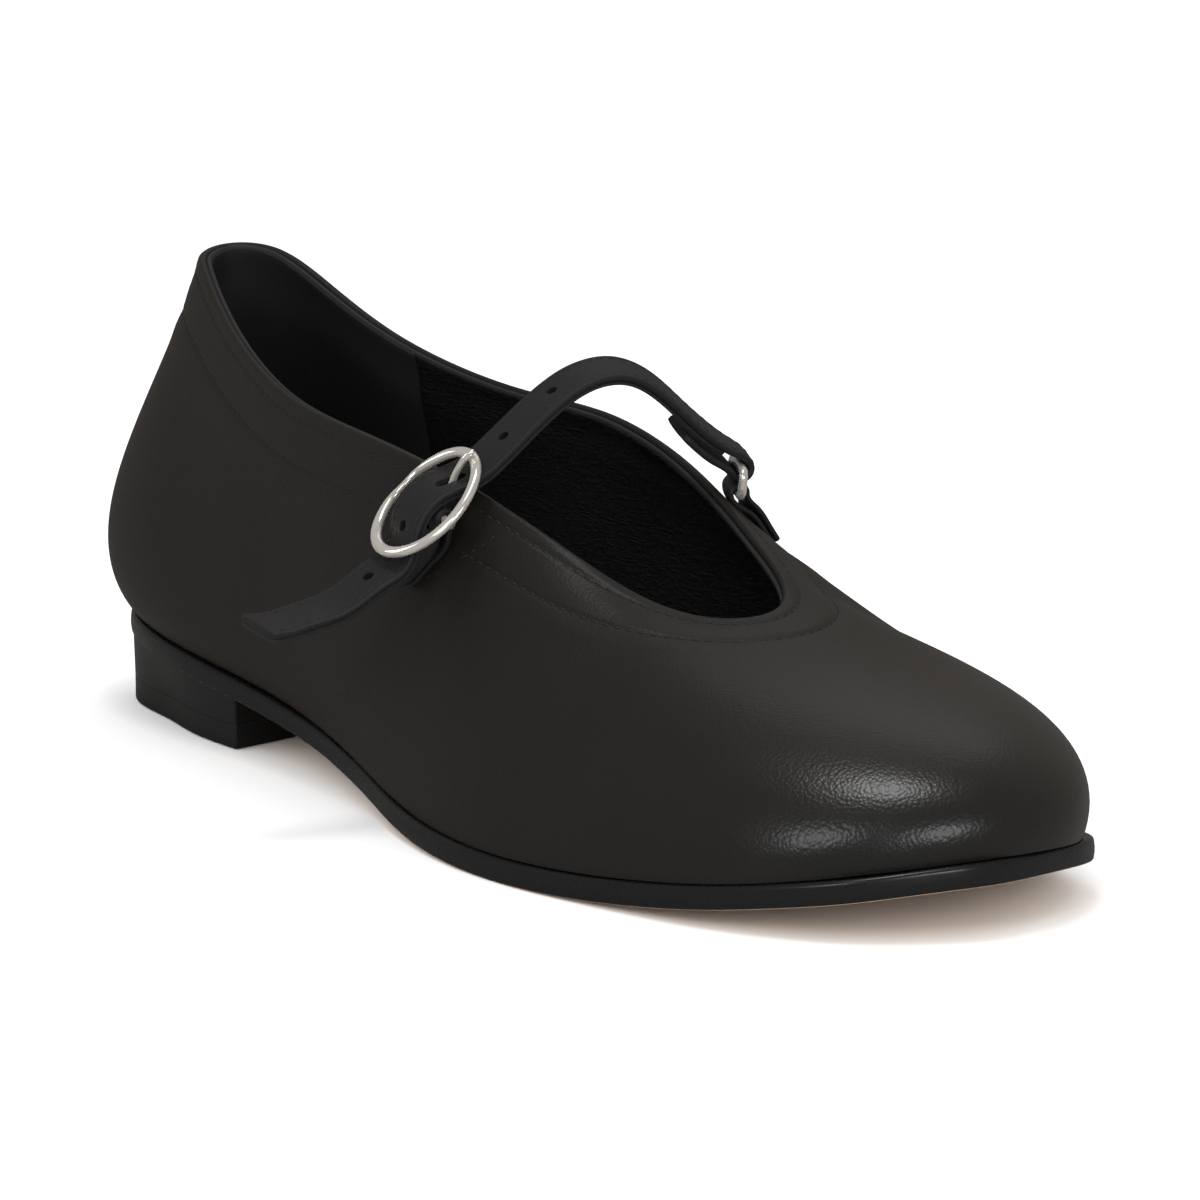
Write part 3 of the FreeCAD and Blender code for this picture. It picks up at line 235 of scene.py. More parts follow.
def levels_below_top(around, distance, samples=161):
    """Levels at distances (columns) below the topline, and the full length of the wall."""
    levels = np.linspace(1, 0, samples)
    steps = np.linalg.norm(np.diff(skin(around[:, None], levels), axis=1), axis=2)
    arcs = np.insert(np.cumsum(steps, axis=1), 0, 0.0, axis=1)
    distance = np.broadcast_to(distance, (len(around), distance.shape[-1]))
    found = np.array([np.interp(row, arc, levels) for row, arc in zip(distance, arcs)])
    return found, arcs[:, -1]


def level_at_height(around, depth, height):
    """Level where the surface at a depth is at a height over the outsole deck."""
    low, high = np.zeros(len(around)), np.full(len(around), 0.5)
    for _ in range(26):
        middle = (low + high) / 2
        point = at_depth(around, middle, depth)
        below = point[:, 2] < deck(point[:, 0]) + height
        low, high = np.where(below, middle, low), np.where(below, high, middle)
    return (low + high) / 2


# ------------------------------------------------------------------ mesh tools
def grid_faces(rows, columns, wrap_rows=False, wrap_columns=False, first=0):
    i = np.arange(rows if wrap_rows else rows - 1)
    j = np.arange(columns if wrap_columns else columns - 1)
    i, j = np.meshgrid(i, j, indexing="ij")
    next_i, next_j = (i + 1) % rows, (j + 1) % columns
    corners = [i * columns + j, next_i * columns + j,
               next_i * columns + next_j, i * columns + next_j]
    return (np.stack(corners, -1).reshape(-1, 4) + first).tolist()


def tube_faces(rows, columns, first=0):
    """Faces of a tube with both ends capped."""
    last = first + (rows - 1) * columns
    return grid_faces(rows, columns, False, True, first) + [
        list(range(first, first + columns))[::-1],
        list(range(last, last + columns)),
    ]


def sweep(centres, first_axis, second_axis, sides):
    """Elliptic vertex rings round centres; the axes carry their own radii."""
    angle = (2 * np.pi * np.arange(sides) / sides)[:, None]
    first_axis = np.broadcast_to(first_axis, centres.shape)[:, None]
    second_axis = np.broadcast_to(second_axis, centres.shape)[:, None]
    return centres[:, None] + first_axis * np.cos(angle) + second_axis * np.sin(angle)


def mesh_object(name, vertices, faces, materials=(), face_materials=None):
    mesh = bpy.data.meshes.new(name)
    vertices = np.asarray(vertices, float).reshape(-1, 3) * 0.001
    mesh.from_pydata(vertices.tolist(), [], faces)
    for material in materials:
        mesh.materials.append(material)
    if face_materials is not None:
        mesh.polygons.foreach_set("material_index", np.asarray(face_materials, np.int32))
    mesh.validate(verbose=False)
    mesh.update()
    work = bmesh.new()
    work.from_mesh(mesh)
    bmesh.ops.recalc_face_normals(work, faces=work.faces)
    work.to_mesh(mesh)
    work.free()
    made = bpy.data.objects.new(name, mesh)
    bpy.context.scene.collection.objects.link(made)
    return made


def shade(made, sharp_angle):
    made.data.shade_smooth()
    made.data.set_sharp_from_angle(angle=math.radians(sharp_angle))


def piece(name, vertices, faces, body, materials, sharp_angle,
          slot=None, replaces=None, face_materials=None):
    """Mesh piece that rides on a body; edges above sharp_angle (degrees) stay sharp."""
    made = mesh_object(name, vertices, faces, materials, face_materials)
    shade(made, sharp_angle)
    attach(made, body)
    if replaces:
        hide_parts(replaces)
    return made


# ------------------------------------------------------------------ material tools
class Nodes:
    """Builds nodes in a tree; a value may be a plain value or another node's output."""

    def __init__(self, tree):
        self.tree = tree

    def feed(self, socket, value):
        if isinstance(value, bpy.types.NodeSocket):
            self.tree.links.new(value, socket)
        else:
            socket.default_value = value

    def set(self, node, *inputs, **settings):
        """Named settings are inputs (spaces as underscores) or else node properties."""
        for key, value in settings.items():
            label = key.replace("_", " ")
            if label in node.inputs.keys():
                self.feed(node.inputs[label], value)
            else:
                setattr(node, key, value)
        for i, value in enumerate(inputs):
            self.feed(node.inputs[i], value)

    def add(self, kind, *inputs, **settings):
        node = self.tree.nodes.new("ShaderNode" + kind)
        self.set(node, *inputs, **settings)
        return node

    def math(self, operation, *inputs, **settings):
        return self.add("Math", *inputs, operation=operation, **settings).outputs[0]

    def scaled(self, value, factor, offset):
        return self.math("ADD", self.math("MULTIPLY", value, factor), offset)

    def noise(self, coords, scale, output="Fac", **settings):
        return self.add("TexNoise", Vector=coords, Scale=scale, **settings).outputs[output]

    def mapped(self, coords, **settings):
        return self.add("Mapping", Vector=coords, **settings).outputs[0]

    def bump(self, height, strength, distance):
        node = self.add("Bump", Strength=strength, Distance=distance, Height=height)
        return node.outputs[0]

    def varied(self, color, noise, vary):
        """Colour made up to a share darker or lighter by a noise."""
        value = self.scaled(noise, 2 * vary, 1 - vary)
        return self.add("HueSaturation", Color=color, Value=value).outputs[0]


def new_material(name):
    """Material with a Principled surface; also returns the object coordinates."""
    material = bpy.data.materials.new(name)
    material.use_nodes = True
    material.node_tree.nodes.clear()
    nodes = Nodes(material.node_tree)
    output = nodes.add("OutputMaterial")
    surface = nodes.add("BsdfPrincipled")
    nodes.set(output, surface.outputs[0])
    coords = nodes.add("TexCoord").outputs["Object"]
    return material, nodes, surface, coords


def leather(name, dark, edge, rough, grain, bump, vary=0.12, creases=0.0, toe_rough=None):
    """Pebbled leather with a grain size in metres; towards grazing angles the base colour turns to
    the edge colour, a painted warm sheen.
    """
    material, nodes, surface, coords = new_material(name)
    mapped = nodes.mapped(coords)

    # pebble cells, with their coordinates slightly warped
    warp = nodes.noise(mapped, 700.0, output="Color", Detail=2.0)
    warped = nodes.add("MixRGB", 0.00028, mapped, warp, blend_type="ADD").outputs[0]
    cells = nodes.add("TexVoronoi", Scale=1 / grain, feature="SMOOTH_F1", Smoothness=0.35,
                      Vector=warped).outputs["Distance"]
    coarse = nodes.noise(mapped, 1 / (grain * 5.5), Detail=3.0, Roughness=0.55)
    fine = nodes.noise(mapped, 1 / (grain * 0.45), Detail=2.0)
    height = nodes.math("MULTIPLY", cells, -1.0)
    height = nodes.math("ADD", height, nodes.math("MULTIPLY", coarse, 0.5))
    height = nodes.math("ADD", height, nodes.math("MULTIPLY", fine, 0.18))
    if creases:
        lying = nodes.mapped(coords, Scale=(0.55, 0.55, 2.6))
        folds = nodes.noise(lying, 420.0, Detail=3.0, Roughness=0.6)
        ridges = nodes.math("ABSOLUTE", nodes.math("SUBTRACT", folds, 0.5))
        height = nodes.math("ADD", height, nodes.math("MULTIPLY", ridges, creases))
    nodes.set(surface, Normal=nodes.bump(height, strength=bump, distance=0.0001))

    # colour and roughness share one large mottle
    mottle = nodes.noise(mapped, 26.0, Detail=4.0, Roughness=0.6)
    # painted sheen: the base colour turns to the edge colour at grazing angles, standing in for a
    # warm rim light
    facing = nodes.add("LayerWeight", Blend=0.28).outputs["Facing"]
    painted_sheen = nodes.math("MULTIPLY", facing, 0.9, use_clamp=True)
    color = nodes.add("MixRGB", painted_sheen, (*dark, 1), (*edge, 1)).outputs[0]
    nodes.set(surface, Base_Color=nodes.varied(color, mottle, vary))
    roughness = nodes.scaled(mottle, 0.14, rough - 0.07)
    if toe_rough is not None:
        # towards the toe the finish changes to toe_rough and a stronger reflection
        along = nodes.add("SeparateXYZ", coords).outputs[0]
        change = nodes.add("MapRange", interpolation_type="SMOOTHSTEP", Value=along,
                           From_Min=0.135, From_Max=0.19, To_Min=0.0, To_Max=toe_rough - rough)
        roughness = nodes.math("ADD", roughness, change.outputs[0])
        shine = nodes.add("MapRange", interpolation_type="SMOOTHSTEP", Value=along,
                          From_Min=0.165, From_Max=0.205, To_Min=0.30, To_Max=0.50)
        nodes.set(surface, Specular_IOR_Level=shine.outputs[0])
    nodes.set(surface, Roughness=roughness)
    surface.inputs["Specular IOR Level"].default_value = 0.30
    surface.inputs["Coat Roughness"].default_value = 0.25
    return material


def plain(name, color, rough, scale, bump, metal=0.0, vary=0.1, depth=0.00008,
          stretch=(1, 1, 1)):
    """One-colour finish with noise in bump and roughness and a larger noise in brightness."""
    material, nodes, surface, coords = new_material(name)
    mapped = nodes.mapped(coords, Scale=stretch)
    grain = nodes.noise(mapped, scale, Detail=4.0, Roughness=0.6)
    patches = nodes.noise(mapped, scale * 0.08, Detail=3.0)
    nodes.set(
        surface,
        Base_Color=nodes.varied((*color, 1), patches, vary),
        Roughness=nodes.scaled(grain, 0.12, rough - 0.06),
        Normal=nodes.bump(grain, strength=bump, distance=depth),
        Metallic=metal,
    )
    return material


def weave(name, color, rough):
    """Cloth of two crossing sets of waves."""
    material, nodes, surface, coords = new_material(name)
    waves = [nodes.add("TexWave", Vector=coords, Scale=900.0, Distortion=0.6,
                       bands_direction=axis).outputs["Fac"] for axis in "XZ"]
    height = nodes.math("ADD", *waves)
    ramp = nodes.add("ValToRGB", nodes.math("MULTIPLY", height, 0.5))
    for stop, position, share in zip(ramp.color_ramp.elements, (0.2, 0.8), (0.8, 1.0)):
        stop.position = position
        stop.color = (*(part * share for part in color), 1)
    nodes.set(
        surface,
        Normal=nodes.bump(height, strength=0.4, distance=0.0001),
        Base_Color=ramp.outputs[0],
        Roughness=rough,
    )
    return material


# ------------------------------------------------------------------ materials
# The edge colours are painted sheen: each leather takes its edge colour at grazing angles.
UPPER_LEATHER = leather(
    "black nappa", dark=(0.0078, 0.0076, 0.0072), edge=(0.030, 0.022, 0.016),
    rough=0.44, toe_rough=0.30, grain=0.00062, bump=0.42)
ROLL_LEATHER = leather(
    "topline roll", dark=(0.014, 0.0145, 0.016), edge=(0.03, 0.03, 0.032),
    rough=0.5, grain=0.0004, bump=0.3)
STRAP_LEATHER = leather(
    "strap leather", dark=(0.010, 0.010, 0.011), edge=(0.026, 0.023, 0.021),
    rough=0.5, grain=0.00045, bump=0.5, vary=0.2)
STRAP_BACKING = leather(
    "strap backing", dark=(0.013, 0.013, 0.014), edge=(0.03, 0.028, 0.026),
    rough=0.6, grain=0.0006, bump=0.5, vary=0.2)
HEEL_LINING = leather(
    "heel grip lining", dark=(0.0105, 0.0105, 0.0115), edge=(0.02, 0.02, 0.022),
    rough=0.72, grain=0.0004, bump=0.35)
VAMP_LINING = leather(
    "vamp lining", dark=(0.0050, 0.0050, 0.0055), edge=(0.014, 0.014, 0.015),
    rough=0.38, grain=0.0007, bump=1.0, creases=9.6)
SOCK_LEATHER = leather(
    "sock leather", dark=(0.004, 0.004, 0.0045), edge=(0.010, 0.010, 0.011),
    rough=0.55, grain=0.0006, bump=0.4)
THREAD = plain(
    "black thread", color=(0.012, 0.012, 0.013), rough=0.55, scale=2600, bump=0.5,
    depth=0.00006)
SOLE_SIDE = plain(
    "burnished sole edge", color=(0.006, 0.006, 0.0062), rough=0.27, scale=260, bump=0.08,
    vary=0.15, stretch=(1, 1, 5))
SOLE_GROUND = plain(
    "tan sole leather", color=(0.42, 0.27, 0.155), rough=0.6, scale=900, bump=0.35, vary=0.18)
HEEL_STACK = plain(
    "heel stack", color=(0.0065, 0.0065, 0.0068), rough=0.32, scale=220, bump=0.08,
    vary=0.15, stretch=(1, 1, 6))
LIFT_RUBBER = plain(
    "rubber lift", color=(0.0068, 0.0068, 0.007), rough=0.36, scale=1500, bump=0.1)
NICKEL = plain(
    "polished nickel", color=(0.88, 0.83, 0.77), rough=0.10, scale=500, bump=0.0,
    metal=0.78, vary=0.03)
STEEL = plain(
    "plain steel", color=(0.45, 0.45, 0.47), rough=0.35, scale=1200, bump=0.1, metal=1.0)
BOARD = plain("fibre board", color=(0.45, 0.33, 0.2), rough=0.85, scale=1500, bump=0.4)
CORK = plain("cork", color=(0.5, 0.33, 0.18), rough=0.85, scale=700, bump=0.6, vary=0.35)
STIFFENER = plain("stiffener", color=(0.66, 0.6, 0.5), rough=0.7, scale=1300, bump=0.3)
FOAM = plain("foam", color=(0.75, 0.72, 0.62), rough=0.9, scale=2200, bump=0.6)
CLOTH = weave("interlining cloth", color=(0.7, 0.68, 0.62), rough=0.8)

# ------------------------------------------------------------------ upper: one closed shell
AROUND = np.arange(480) / 480
NEAR_ROW = 2.1   # first stitch row, below the topline
FAR_ROW = 10.0   # second stitch row
BAND_END = 11.6  # end of the closely spaced mesh rows below the topline
BAND_ROWS = np.concatenate([
    np.arange(0.0, 3.4, 0.25), np.arange(3.6, 8.4, 0.8), np.arange(8.6, 11.8, 0.25)])
FOLD_RADIUS = 0.8  # of the upper's folded rim

RIM = skin(AROUND, np.ones(len(AROUND)))
RIM_NORMAL, RIM_TANGENT = skin_frame(AROUND, np.ones(len(AROUND)))


def near_toe(around, width):
    return bell(np.mod(around, 1.0), 0.5, width)


def far_row(around):
    """Second stitch row, which rises towards the topline at the throat."""
    return FAR_ROW - 1.2 * near_toe(around, 0.09)


def surface_relief(around, distance):
    """Depth (inward) of the pressed lines and the slight swelling below the topline."""
    far = far_row(around)
    depth = 0.16 * bell(distance, NEAR_ROW, 0.45)
    depth = depth + 0.26 * bell(distance, far, 0.55)
    depth = depth - 0.14 * bell(distance, 0.5 * (NEAR_ROW + far), 2.2)
    depth = depth - 0.16 * bell(distance, far + 3.2, 2.0)
    return depth - 0.05 * bell(distance, 0.9, 0.6)


def soft_waves(around, distance, wall_length):
    """Long, shallow unevenness of soft leather on the wall."""
    angle = 2 * np.pi * around
    share = distance / wall_length
    waves = (0.22 * np.sin(9 * angle + 1.3 + 3 * share)
             + 0.12 * np.sin(17 * angle + 0.4 - 5 * share))
    middle = np.sin(np.pi * np.clip(share, 0, 1)) ** 2
    return waves * middle * (1 - 0.85 * near_toe(around, 0.13)) * 0.6


def upper_outside():
    _, wall_length = levels_below_top(AROUND, BAND_ROWS)
    wall_length = wall_length[:, None]
    around = AROUND[:, None]
    band = np.repeat(BAND_ROWS[None], len(AROUND), 0)
    rest = BAND_END + (wall_length - BAND_END) * np.linspace(0, 1, 46)[1:]
    distance = np.concatenate([band, rest], 1)
    levels, _ = levels_below_top(AROUND, distance, samples=321)
    levels[:, -1] = 0.0
    depth = surface_relief(around, distance) + soft_waves(around, distance, wall_length)
    fade = 1 - smooth_step(distance, wall_length - 5, wall_length - 0.5)
    return at_depth(around, levels, depth * fade)


def upper_margin():
    """Flange turned in under the foot: out to 12 mm and back on its upper face."""
    low, high = UPPER_GAP, UPPER_GAP + UPPER_THICKNESS
    plan, outward = feather(AROUND), feather.outward(AROUND)
    rows = [(4, low), (8, low), (12, low), (12, high), (8, high), (4, high)]
    return np.stack([over_deck(plan - outward * inset, height) for inset, height in rows], 1)


def upper_inside():
    below_rim = np.array([13.0, 9.0, 6.0, 3.0, 1.0, 0.2])
    top, _ = levels_below_top(AROUND, below_rim)
    foot = level_at_height(AROUND, UPPER_THICKNESS, UPPER_GAP + UPPER_THICKNESS)[:, None]
    lower = foot + (top[:, :1] - foot) * np.linspace(0, 1, 14)[:-1]
    # the shell thickens to the width of the fold near the rim
    depth = [UPPER_THICKNESS] * 14 + [1.3, 1.4, 1.5, 1.58, 2 * FOLD_RADIUS]
    return at_depth(AROUND[:, None], np.concatenate([lower, top], 1), depth)


def upper_fold():
    return np.stack([
        RIM - RIM_NORMAL * (FOLD_RADIUS * (1 - np.cos(angle)))
        + RIM_TANGENT * (FOLD_RADIUS * np.sin(angle))
        for angle in np.linspace(np.pi, 0, 11)[1:-1]], 1)


shell = np.concatenate([upper_outside(), upper_margin(), upper_inside(), upper_fold()], 1)
piece("upper_shell", shell, grid_faces(len(AROUND), shell.shape[1], True, True), "shoe",
      [UPPER_LEATHER], 50, slot="upper_leather", replaces="upper_leather")

# ------------------------------------------------------------------ linings
LINING_DEPTH = 2.6  # of the lining's outer face below the upper's outside
LINING_THICKNESS = 0.9
LINING_FOOT = 1.65  # height of the lining's lower edge over the deck
CREASE_HEIGHT = 0.45
CREASE_COUNT = 7


def crease_height(points, levels):
    """Sharp, nearly level ridges on the upper part of the lining, between x = 40 and 160."""
    random = np.random.RandomState(7)
    x, z = points[..., 0], points[..., 2]
    ridges = 0
    for _ in range(CREASE_COUNT):
        phase = random.uniform(0, 6.28)
        along_z = random.uniform(1.5, 3.6)
        along_x = random.uniform(-0.35, 0.35)
        bend = 0.8 * np.sin(0.21 * x + phase * 2)
        ridges = ridges + np.abs(np.sin(along_z * z + along_x * x + phase + bend)) ** 3
    region = smooth_step(levels, 0.35, 0.6) * (1 - smooth_step(levels, 0.86, 0.95))
    region = region * smooth_step(x, 40, 70) * (1 - smooth_step(x, 135, 160))
    return CREASE_HEIGHT * ridges / CREASE_COUNT * region


def lining(name, start, end, rows, material, slot, replaces, creased=False):
    """Lining between two places around the shoe, with a rounded top edge."""
    around = np.linspace(start, end, rows)

    def face(depth):
        foot = level_at_height(around, depth, LINING_FOOT)[:, None]
        levels = foot + (1 - foot) * np.linspace(0, 1, 60)
        depths = (depth - 0.9 * smooth_step(levels, 0.80, 0.97)
                  + 0.25 * smooth_step(levels, 0.9, 1.0))
        return levels, depths

    outer = at_depth(around[:, None], *face(LINING_DEPTH))
    levels, depths = face(LINING_DEPTH + LINING_THICKNESS)
    if creased:
        depths = depths - crease_height(skin(around[:, None], levels), levels)
    inner = at_depth(around[:, None], levels, depths)

    normal, tangent = skin_frame(around, np.ones(rows))
    middle = 0.5 * (outer[:, -1] + inner[:, -1])
    radius = 0.5 * np.linalg.norm(outer[:, -1] - inner[:, -1], axis=1)[:, None]
    top = np.stack([
        middle + normal * radius * np.cos(angle) + tangent * radius * 0.8 * np.sin(angle)
        for angle in np.linspace(0, np.pi, 7)[1:-1]], 1)
    profile = np.concatenate([outer, top, inner[:, ::-1]], 1)
    piece(name, profile, tube_faces(rows, profile.shape[1]), "shoe", [material], 45,
          slot=slot, replaces=replaces)


lining("heel_grip_lining", -0.16, 0.16, 150, HEEL_LINING, "heel_lining", "quarter_lining")
lining("forepart_lining", 0.1615, 0.8385, 330, VAMP_LINING, "vamp_lining", "vamp_lining",
       creased=True)

# topline roll between the upper's fold and the lining
roll = sweep(RIM - RIM_NORMAL * 2.05 + RIM_TANGENT * 0.1,
             RIM_NORMAL * 0.52, RIM_TANGENT * 0.62, 14)
piece("topline_roll", roll, grid_faces(len(AROUND), 14, True, True), "shoe", [ROLL_LEATHER], 60,
      slot="binding_leather", replaces="topline_binding")


# ------------------------------------------------------------------ outsole and sock
def side_profile(low_radius, high_radius, arc_rows, shares):
    """Rows up a side with rounded edges: inset, share of the height, offset from it."""
    def arc(radius):
        angles = np.radians(np.linspace(-90, 0, arc_rows))
        return list(zip(radius * (1 - np.cos(angles)), radius * (1 + np.sin(angles))))

    rows = [(inset, 0.0, rise) for inset, rise in arc(low_radius)]
    rows += [(0.0, share, low_radius * (1 - share) - high_radius * share) for share in shares]
    return rows + [(inset, 1.0, -drop) for inset, drop in arc(high_radius)[::-1]]


def fill_outline(outline, edge, height, first, steps=24):
    """Fills an outline whose points i and count - i face each other; edge is their indices."""
    count = len(outline)
    inner, rows, faces = [], [], []
    for i in range(count // 2 + 1):
        j = (count - i) % count
        row = [edge[i]]
        if i != j:
            for k in range(1, steps):
                share = k / steps
                row.append(first + len(inner))
                inner.append(outline[i] * (1 - share) + outline[j] * share)
            row.append(edge[j])
        rows.append(row)
    for here, ahead in zip(rows, rows[1:]):
        if len(here) == 1:
            faces += [[here[0], ahead[k], ahead[k + 1]] for k in range(len(ahead) - 1)]
        elif len(ahead) == 1:
            faces += [[ahead[0], here[k + 1], here[k]] for k in range(len(here) - 1)]
        else:
            faces += [[here[k], ahead[k], ahead[k + 1], here[k + 1]]
                      for k in range(len(here) - 1)]
    inner = np.array(inner)
    return np.c_[inner, height(inner[:, 0], inner[:, 1])], faces


def slab(name, outline, low, high, inset, low_radius, high_radius, count, materials,
         slot, replaces, bulge=0.0, ground_columns=0):
    """Sheet between two height functions of x and y, with rounded edges.

    The underside and the first ground_columns of the side take the second material.
    """
    around = np.arange(count) / count
    plan, outward = outline(around), outline.outward(around)
    profile = [(6.0, 0.0, 0.0), (2.2, 0.0, 0.0)]
    profile += [(inset + step_in - bulge * 4 * share * (1 - share), share, offset)
                for step_in, share, offset
                in side_profile(low_radius, high_radius, 7, (0.3, 0.5, 0.7))]
    profile += [(2.4 + inset, 1.0, 0.0), (6.0 + inset, 1.0, 0.0)]
    columns = []
    for distance, share, offset in profile:
        place = plan - outward * distance
        z = low(*place.T) * (1 - share) + high(*place.T) * share + offset
        columns.append(np.c_[place, z])
    side = np.stack(columns, 1)
    width = len(profile)
    vertices = side.reshape(-1, 3)
    faces = grid_faces(count, width, True, False)
    second = min(1, ground_columns)
    finish = ([1] * ground_columns + [0] * (width - 1 - ground_columns)) * count
    for column, height, index in ((0, low, second), (width - 1, high, 0)):
        edge = [i * width + column for i in range(count)]
        inner, inner_faces = fill_outline(side[:, column, :2], edge, height, len(vertices))
        vertices = np.concatenate([vertices, inner])
        faces += inner_faces
        finish += [index] * len(inner_faces)
    piece(name, vertices, faces, "shoe", materials, 50, slot=slot, replaces=replaces,
          face_materials=finish)


SOCK_LIFT = 2.1       # sock's underside over the linings' lower edge
SOCK_HEEL_LIFT = 2.1  # more of it under the heel


def sock_low(x, y):
    heel = 1 - smooth_step(x, 44, 64)
    return deck(x) + LINING_FOOT + SOCK_LIFT + SOCK_HEEL_LIFT * heel


def sock_high(x, y):
    """1 mm over the underside, with a shallow dish under the heel."""
    return sock_low(x, y) + 1.0 - 0.25 * bell(x, 4, 22.0) * bell(y, 0, 14.0)


slab("outsole_body", sole_edge, lambda x, y: under(x), lambda x, y: deck(x), inset=0.0,
     low_radius=0.35, high_radius=1.0, count=480, materials=[SOLE_SIDE, SOLE_GROUND],
     slot="sole_leather", replaces="outsole", bulge=0.12, ground_columns=5)
slab("sock_sheet", feather, sock_low, sock_high, inset=4.25,
     low_radius=0.3, high_radius=0.4, count=320, materials=[SOCK_LEATHER],
     slot="sock", replaces="sock_lining")

# ------------------------------------------------------------------ heel block and top lift
BREAST_X = 26.6     # front face of the heel, at y = 0
BREAST_SKEW = 0.20  # backward step of that face per mm of y
LIFT_THICKNESS = 4.5
HEEL_GAP = 0.03     # below and above the heel stack
TAPER_START, TAPER_HEIGHT = 4.55, 11.45


def foot_inset(x, y):
    """Inset of the heel's foot from the sole edge."""
    outer_side = 0.3 + 2.1 * bell(x, 1.0, 14.5) + 1.4 * smooth_step(y, -14.0, 0.0)
    return np.where(y > 0, 1.7, outer_side)


def heel_outline(share, inset, corner_radius=0.55):
    """D-shaped outline at a share of the way from foot to seat, with rounded breast corners."""
    around = np.linspace(-0.5, 0.5, 4001)[:-1]
    edge = sole_edge(around)
    distance = foot_inset(*edge.T) * (1 - share) + 0.2 * share
    edge = edge - sole_edge.outward(around) * distance[:, None]
    edge = edge[edge[:, 0] <= BREAST_X - BREAST_SKEW * edge[:, 1]]
    along = lengths(edge)
    inner, outer = edge[0], edge[-1]
    places = np.linspace(corner_radius, along[-1] - corner_radius, 170)
    back = np.c_[np.interp(places, along, edge[:, 0]), np.interp(places, along, edge[:, 1])]
    gap = corner_radius / np.linalg.norm(outer - inner)
    breast = outer + (inner - outer) * np.linspace(gap, 1 - gap, 44)[:, None]

    def corner(start, middle, end):
        t = np.linspace(0, 1, 7)[1:-1, None]
        return (1 - t) ** 2 * start + 2 * t * (1 - t) * middle + t * t * end

    outline = np.concatenate([
        back, corner(back[-1], outer, breast[0]), breast, corner(breast[-1], inner, back[0])])
    along = unit(np.roll(outline, -1, 0) - np.roll(outline, 1, 0))
    return outline - np.c_[along[:, 1], -along[:, 0]] * inset


def heel_solid(name, bottom, top, taper, low_radius, high_radius, rows, material,
               slot, replaces):
    """Solid between two height functions of x; taper gives the outline's share at a height."""
    profile = [(low_radius + 0.8, 0.0, 0.0)]
    profile += side_profile(low_radius, high_radius, 5, np.linspace(0, 1, rows)[1:-1])
    profile += [(high_radius + 0.8, 1.0, 0.0)]
    mean_x = heel_outline(0.5, 0.0)[:, 0]
    columns = []
    for inset, share, offset in profile:
        def height(x):
            return bottom(x) * (1 - share) + top(x) * share + offset

        outline = heel_outline(taper(float(np.mean(height(mean_x)))), inset)
        columns.append(np.c_[outline, height(outline[:, 0])])
    side = np.stack(columns, 1)
    count, width = side.shape[:2]
    vertices = side.reshape(-1, 3)
    faces = grid_faces(count, width, True, False)
    for column, height in ((0, bottom), (width - 1, top)):
        ring = [i * width + column for i in range(count)]
        edge = side[:, column, :2]
        centre = edge.mean(0)
        for scale in (0.66, 0.33):
            plan = centre + (edge - centre) * scale
            smaller = [len(vertices) + i for i in range(count)]
            vertices = np.concatenate([vertices, np.c_[plan, height(plan[:, 0])]])
            faces += [[ring[i], ring[(i + 1) % count], smaller[(i + 1) % count], smaller[i]]
                      for i in range(count)]
            ring = smaller
        faces += [[ring[i], ring[(i + 1) % count], len(vertices)] for i in range(count)]
        vertices = np.concatenate([vertices, np.c_[centre[None], height(centre[:1])]])
    piece(name, vertices, faces, "shoe", [material], 40, slot=slot, replaces=replaces)


def flat(z):
    return lambda x: np.full(np.shape(x), z)


heel_solid(
    "heel_stack", flat(LIFT_THICKNESS + HEEL_GAP), lambda x: under(x) - HEEL_GAP,
    taper=lambda z: min(max((z - TAPER_START) / TAPER_HEIGHT, 0.0), 1.0),
    low_radius=0.05, high_radius=0.08, rows=16, material=HEEL_STACK,
    slot="heel_stack", replaces="heel_block")
heel_solid(
    "top_lift_rubber", flat(0.0), flat(LIFT_THICKNESS), taper=lambda z: 0.0,
    low_radius=0.3, high_radius=0.05, rows=8, material=LIFT_RUBBER,
    slot="lift_rubber", replaces="top_lift")


# ------------------------------------------------------------------ threads
def threads(name, paths, radius, body, sides=6):
    """Separate round threads with tapered ends."""
    vertices, faces = [], []
    for path in paths:
        along = unit(np.gradient(path, axis=0))
        first = unit(np.cross(along, [0.31, 0.22, 0.93]))
        second = np.cross(along, first)
        radii = np.full((len(path), 1), radius)
        radii[[0, -1]] *= 0.45
        faces += tube_faces(len(path), sides, len(vertices) * len(path) * sides)
        vertices.append(sweep(path, first * radii, second * radii, sides))
    piece(name, np.array(vertices), faces, body, [THREAD], 60)


def stitch_row(name, points, normals, body, pitch, length, radius, lift=0.04, closed=False):
    """Stitches along a line, each rising from the surface and sinking back into it."""
    if closed:
        points, normals = np.r_[points, points[:1]], np.r_[normals, normals[:1]]
    along = lengths(points)
    count = max(int(along[-1] / pitch), 1)
    pitch = along[-1] / count
    rise = np.array([-0.28, lift * 0.6, lift, lift * 0.6, -0.28])[:, None]

    def sample(values, places):
        return np.stack([np.interp(places, along, values[:, i]) for i in range(3)], 1)

    paths = []
    for i in range(count):
        places = i * pitch + np.linspace((pitch - length) / 2, (pitch + length) / 2, 5)
        paths.append(sample(points, places) + unit(sample(normals, places)) * rise)
    threads(name, paths, radius, body)


def on_upper(around, distance):
    """Points and normals of the pressed surface at a distance below the topline."""
    distance = np.broadcast_to(distance, around.shape)
    levels, wall_length = levels_below_top(around, distance[:, None], samples=241)
    level = levels[:, 0]
    depth = surface_relief(around, distance) + soft_waves(around, distance, wall_length)
    return at_depth(around, level, depth), skin_frame(around, level)[0]


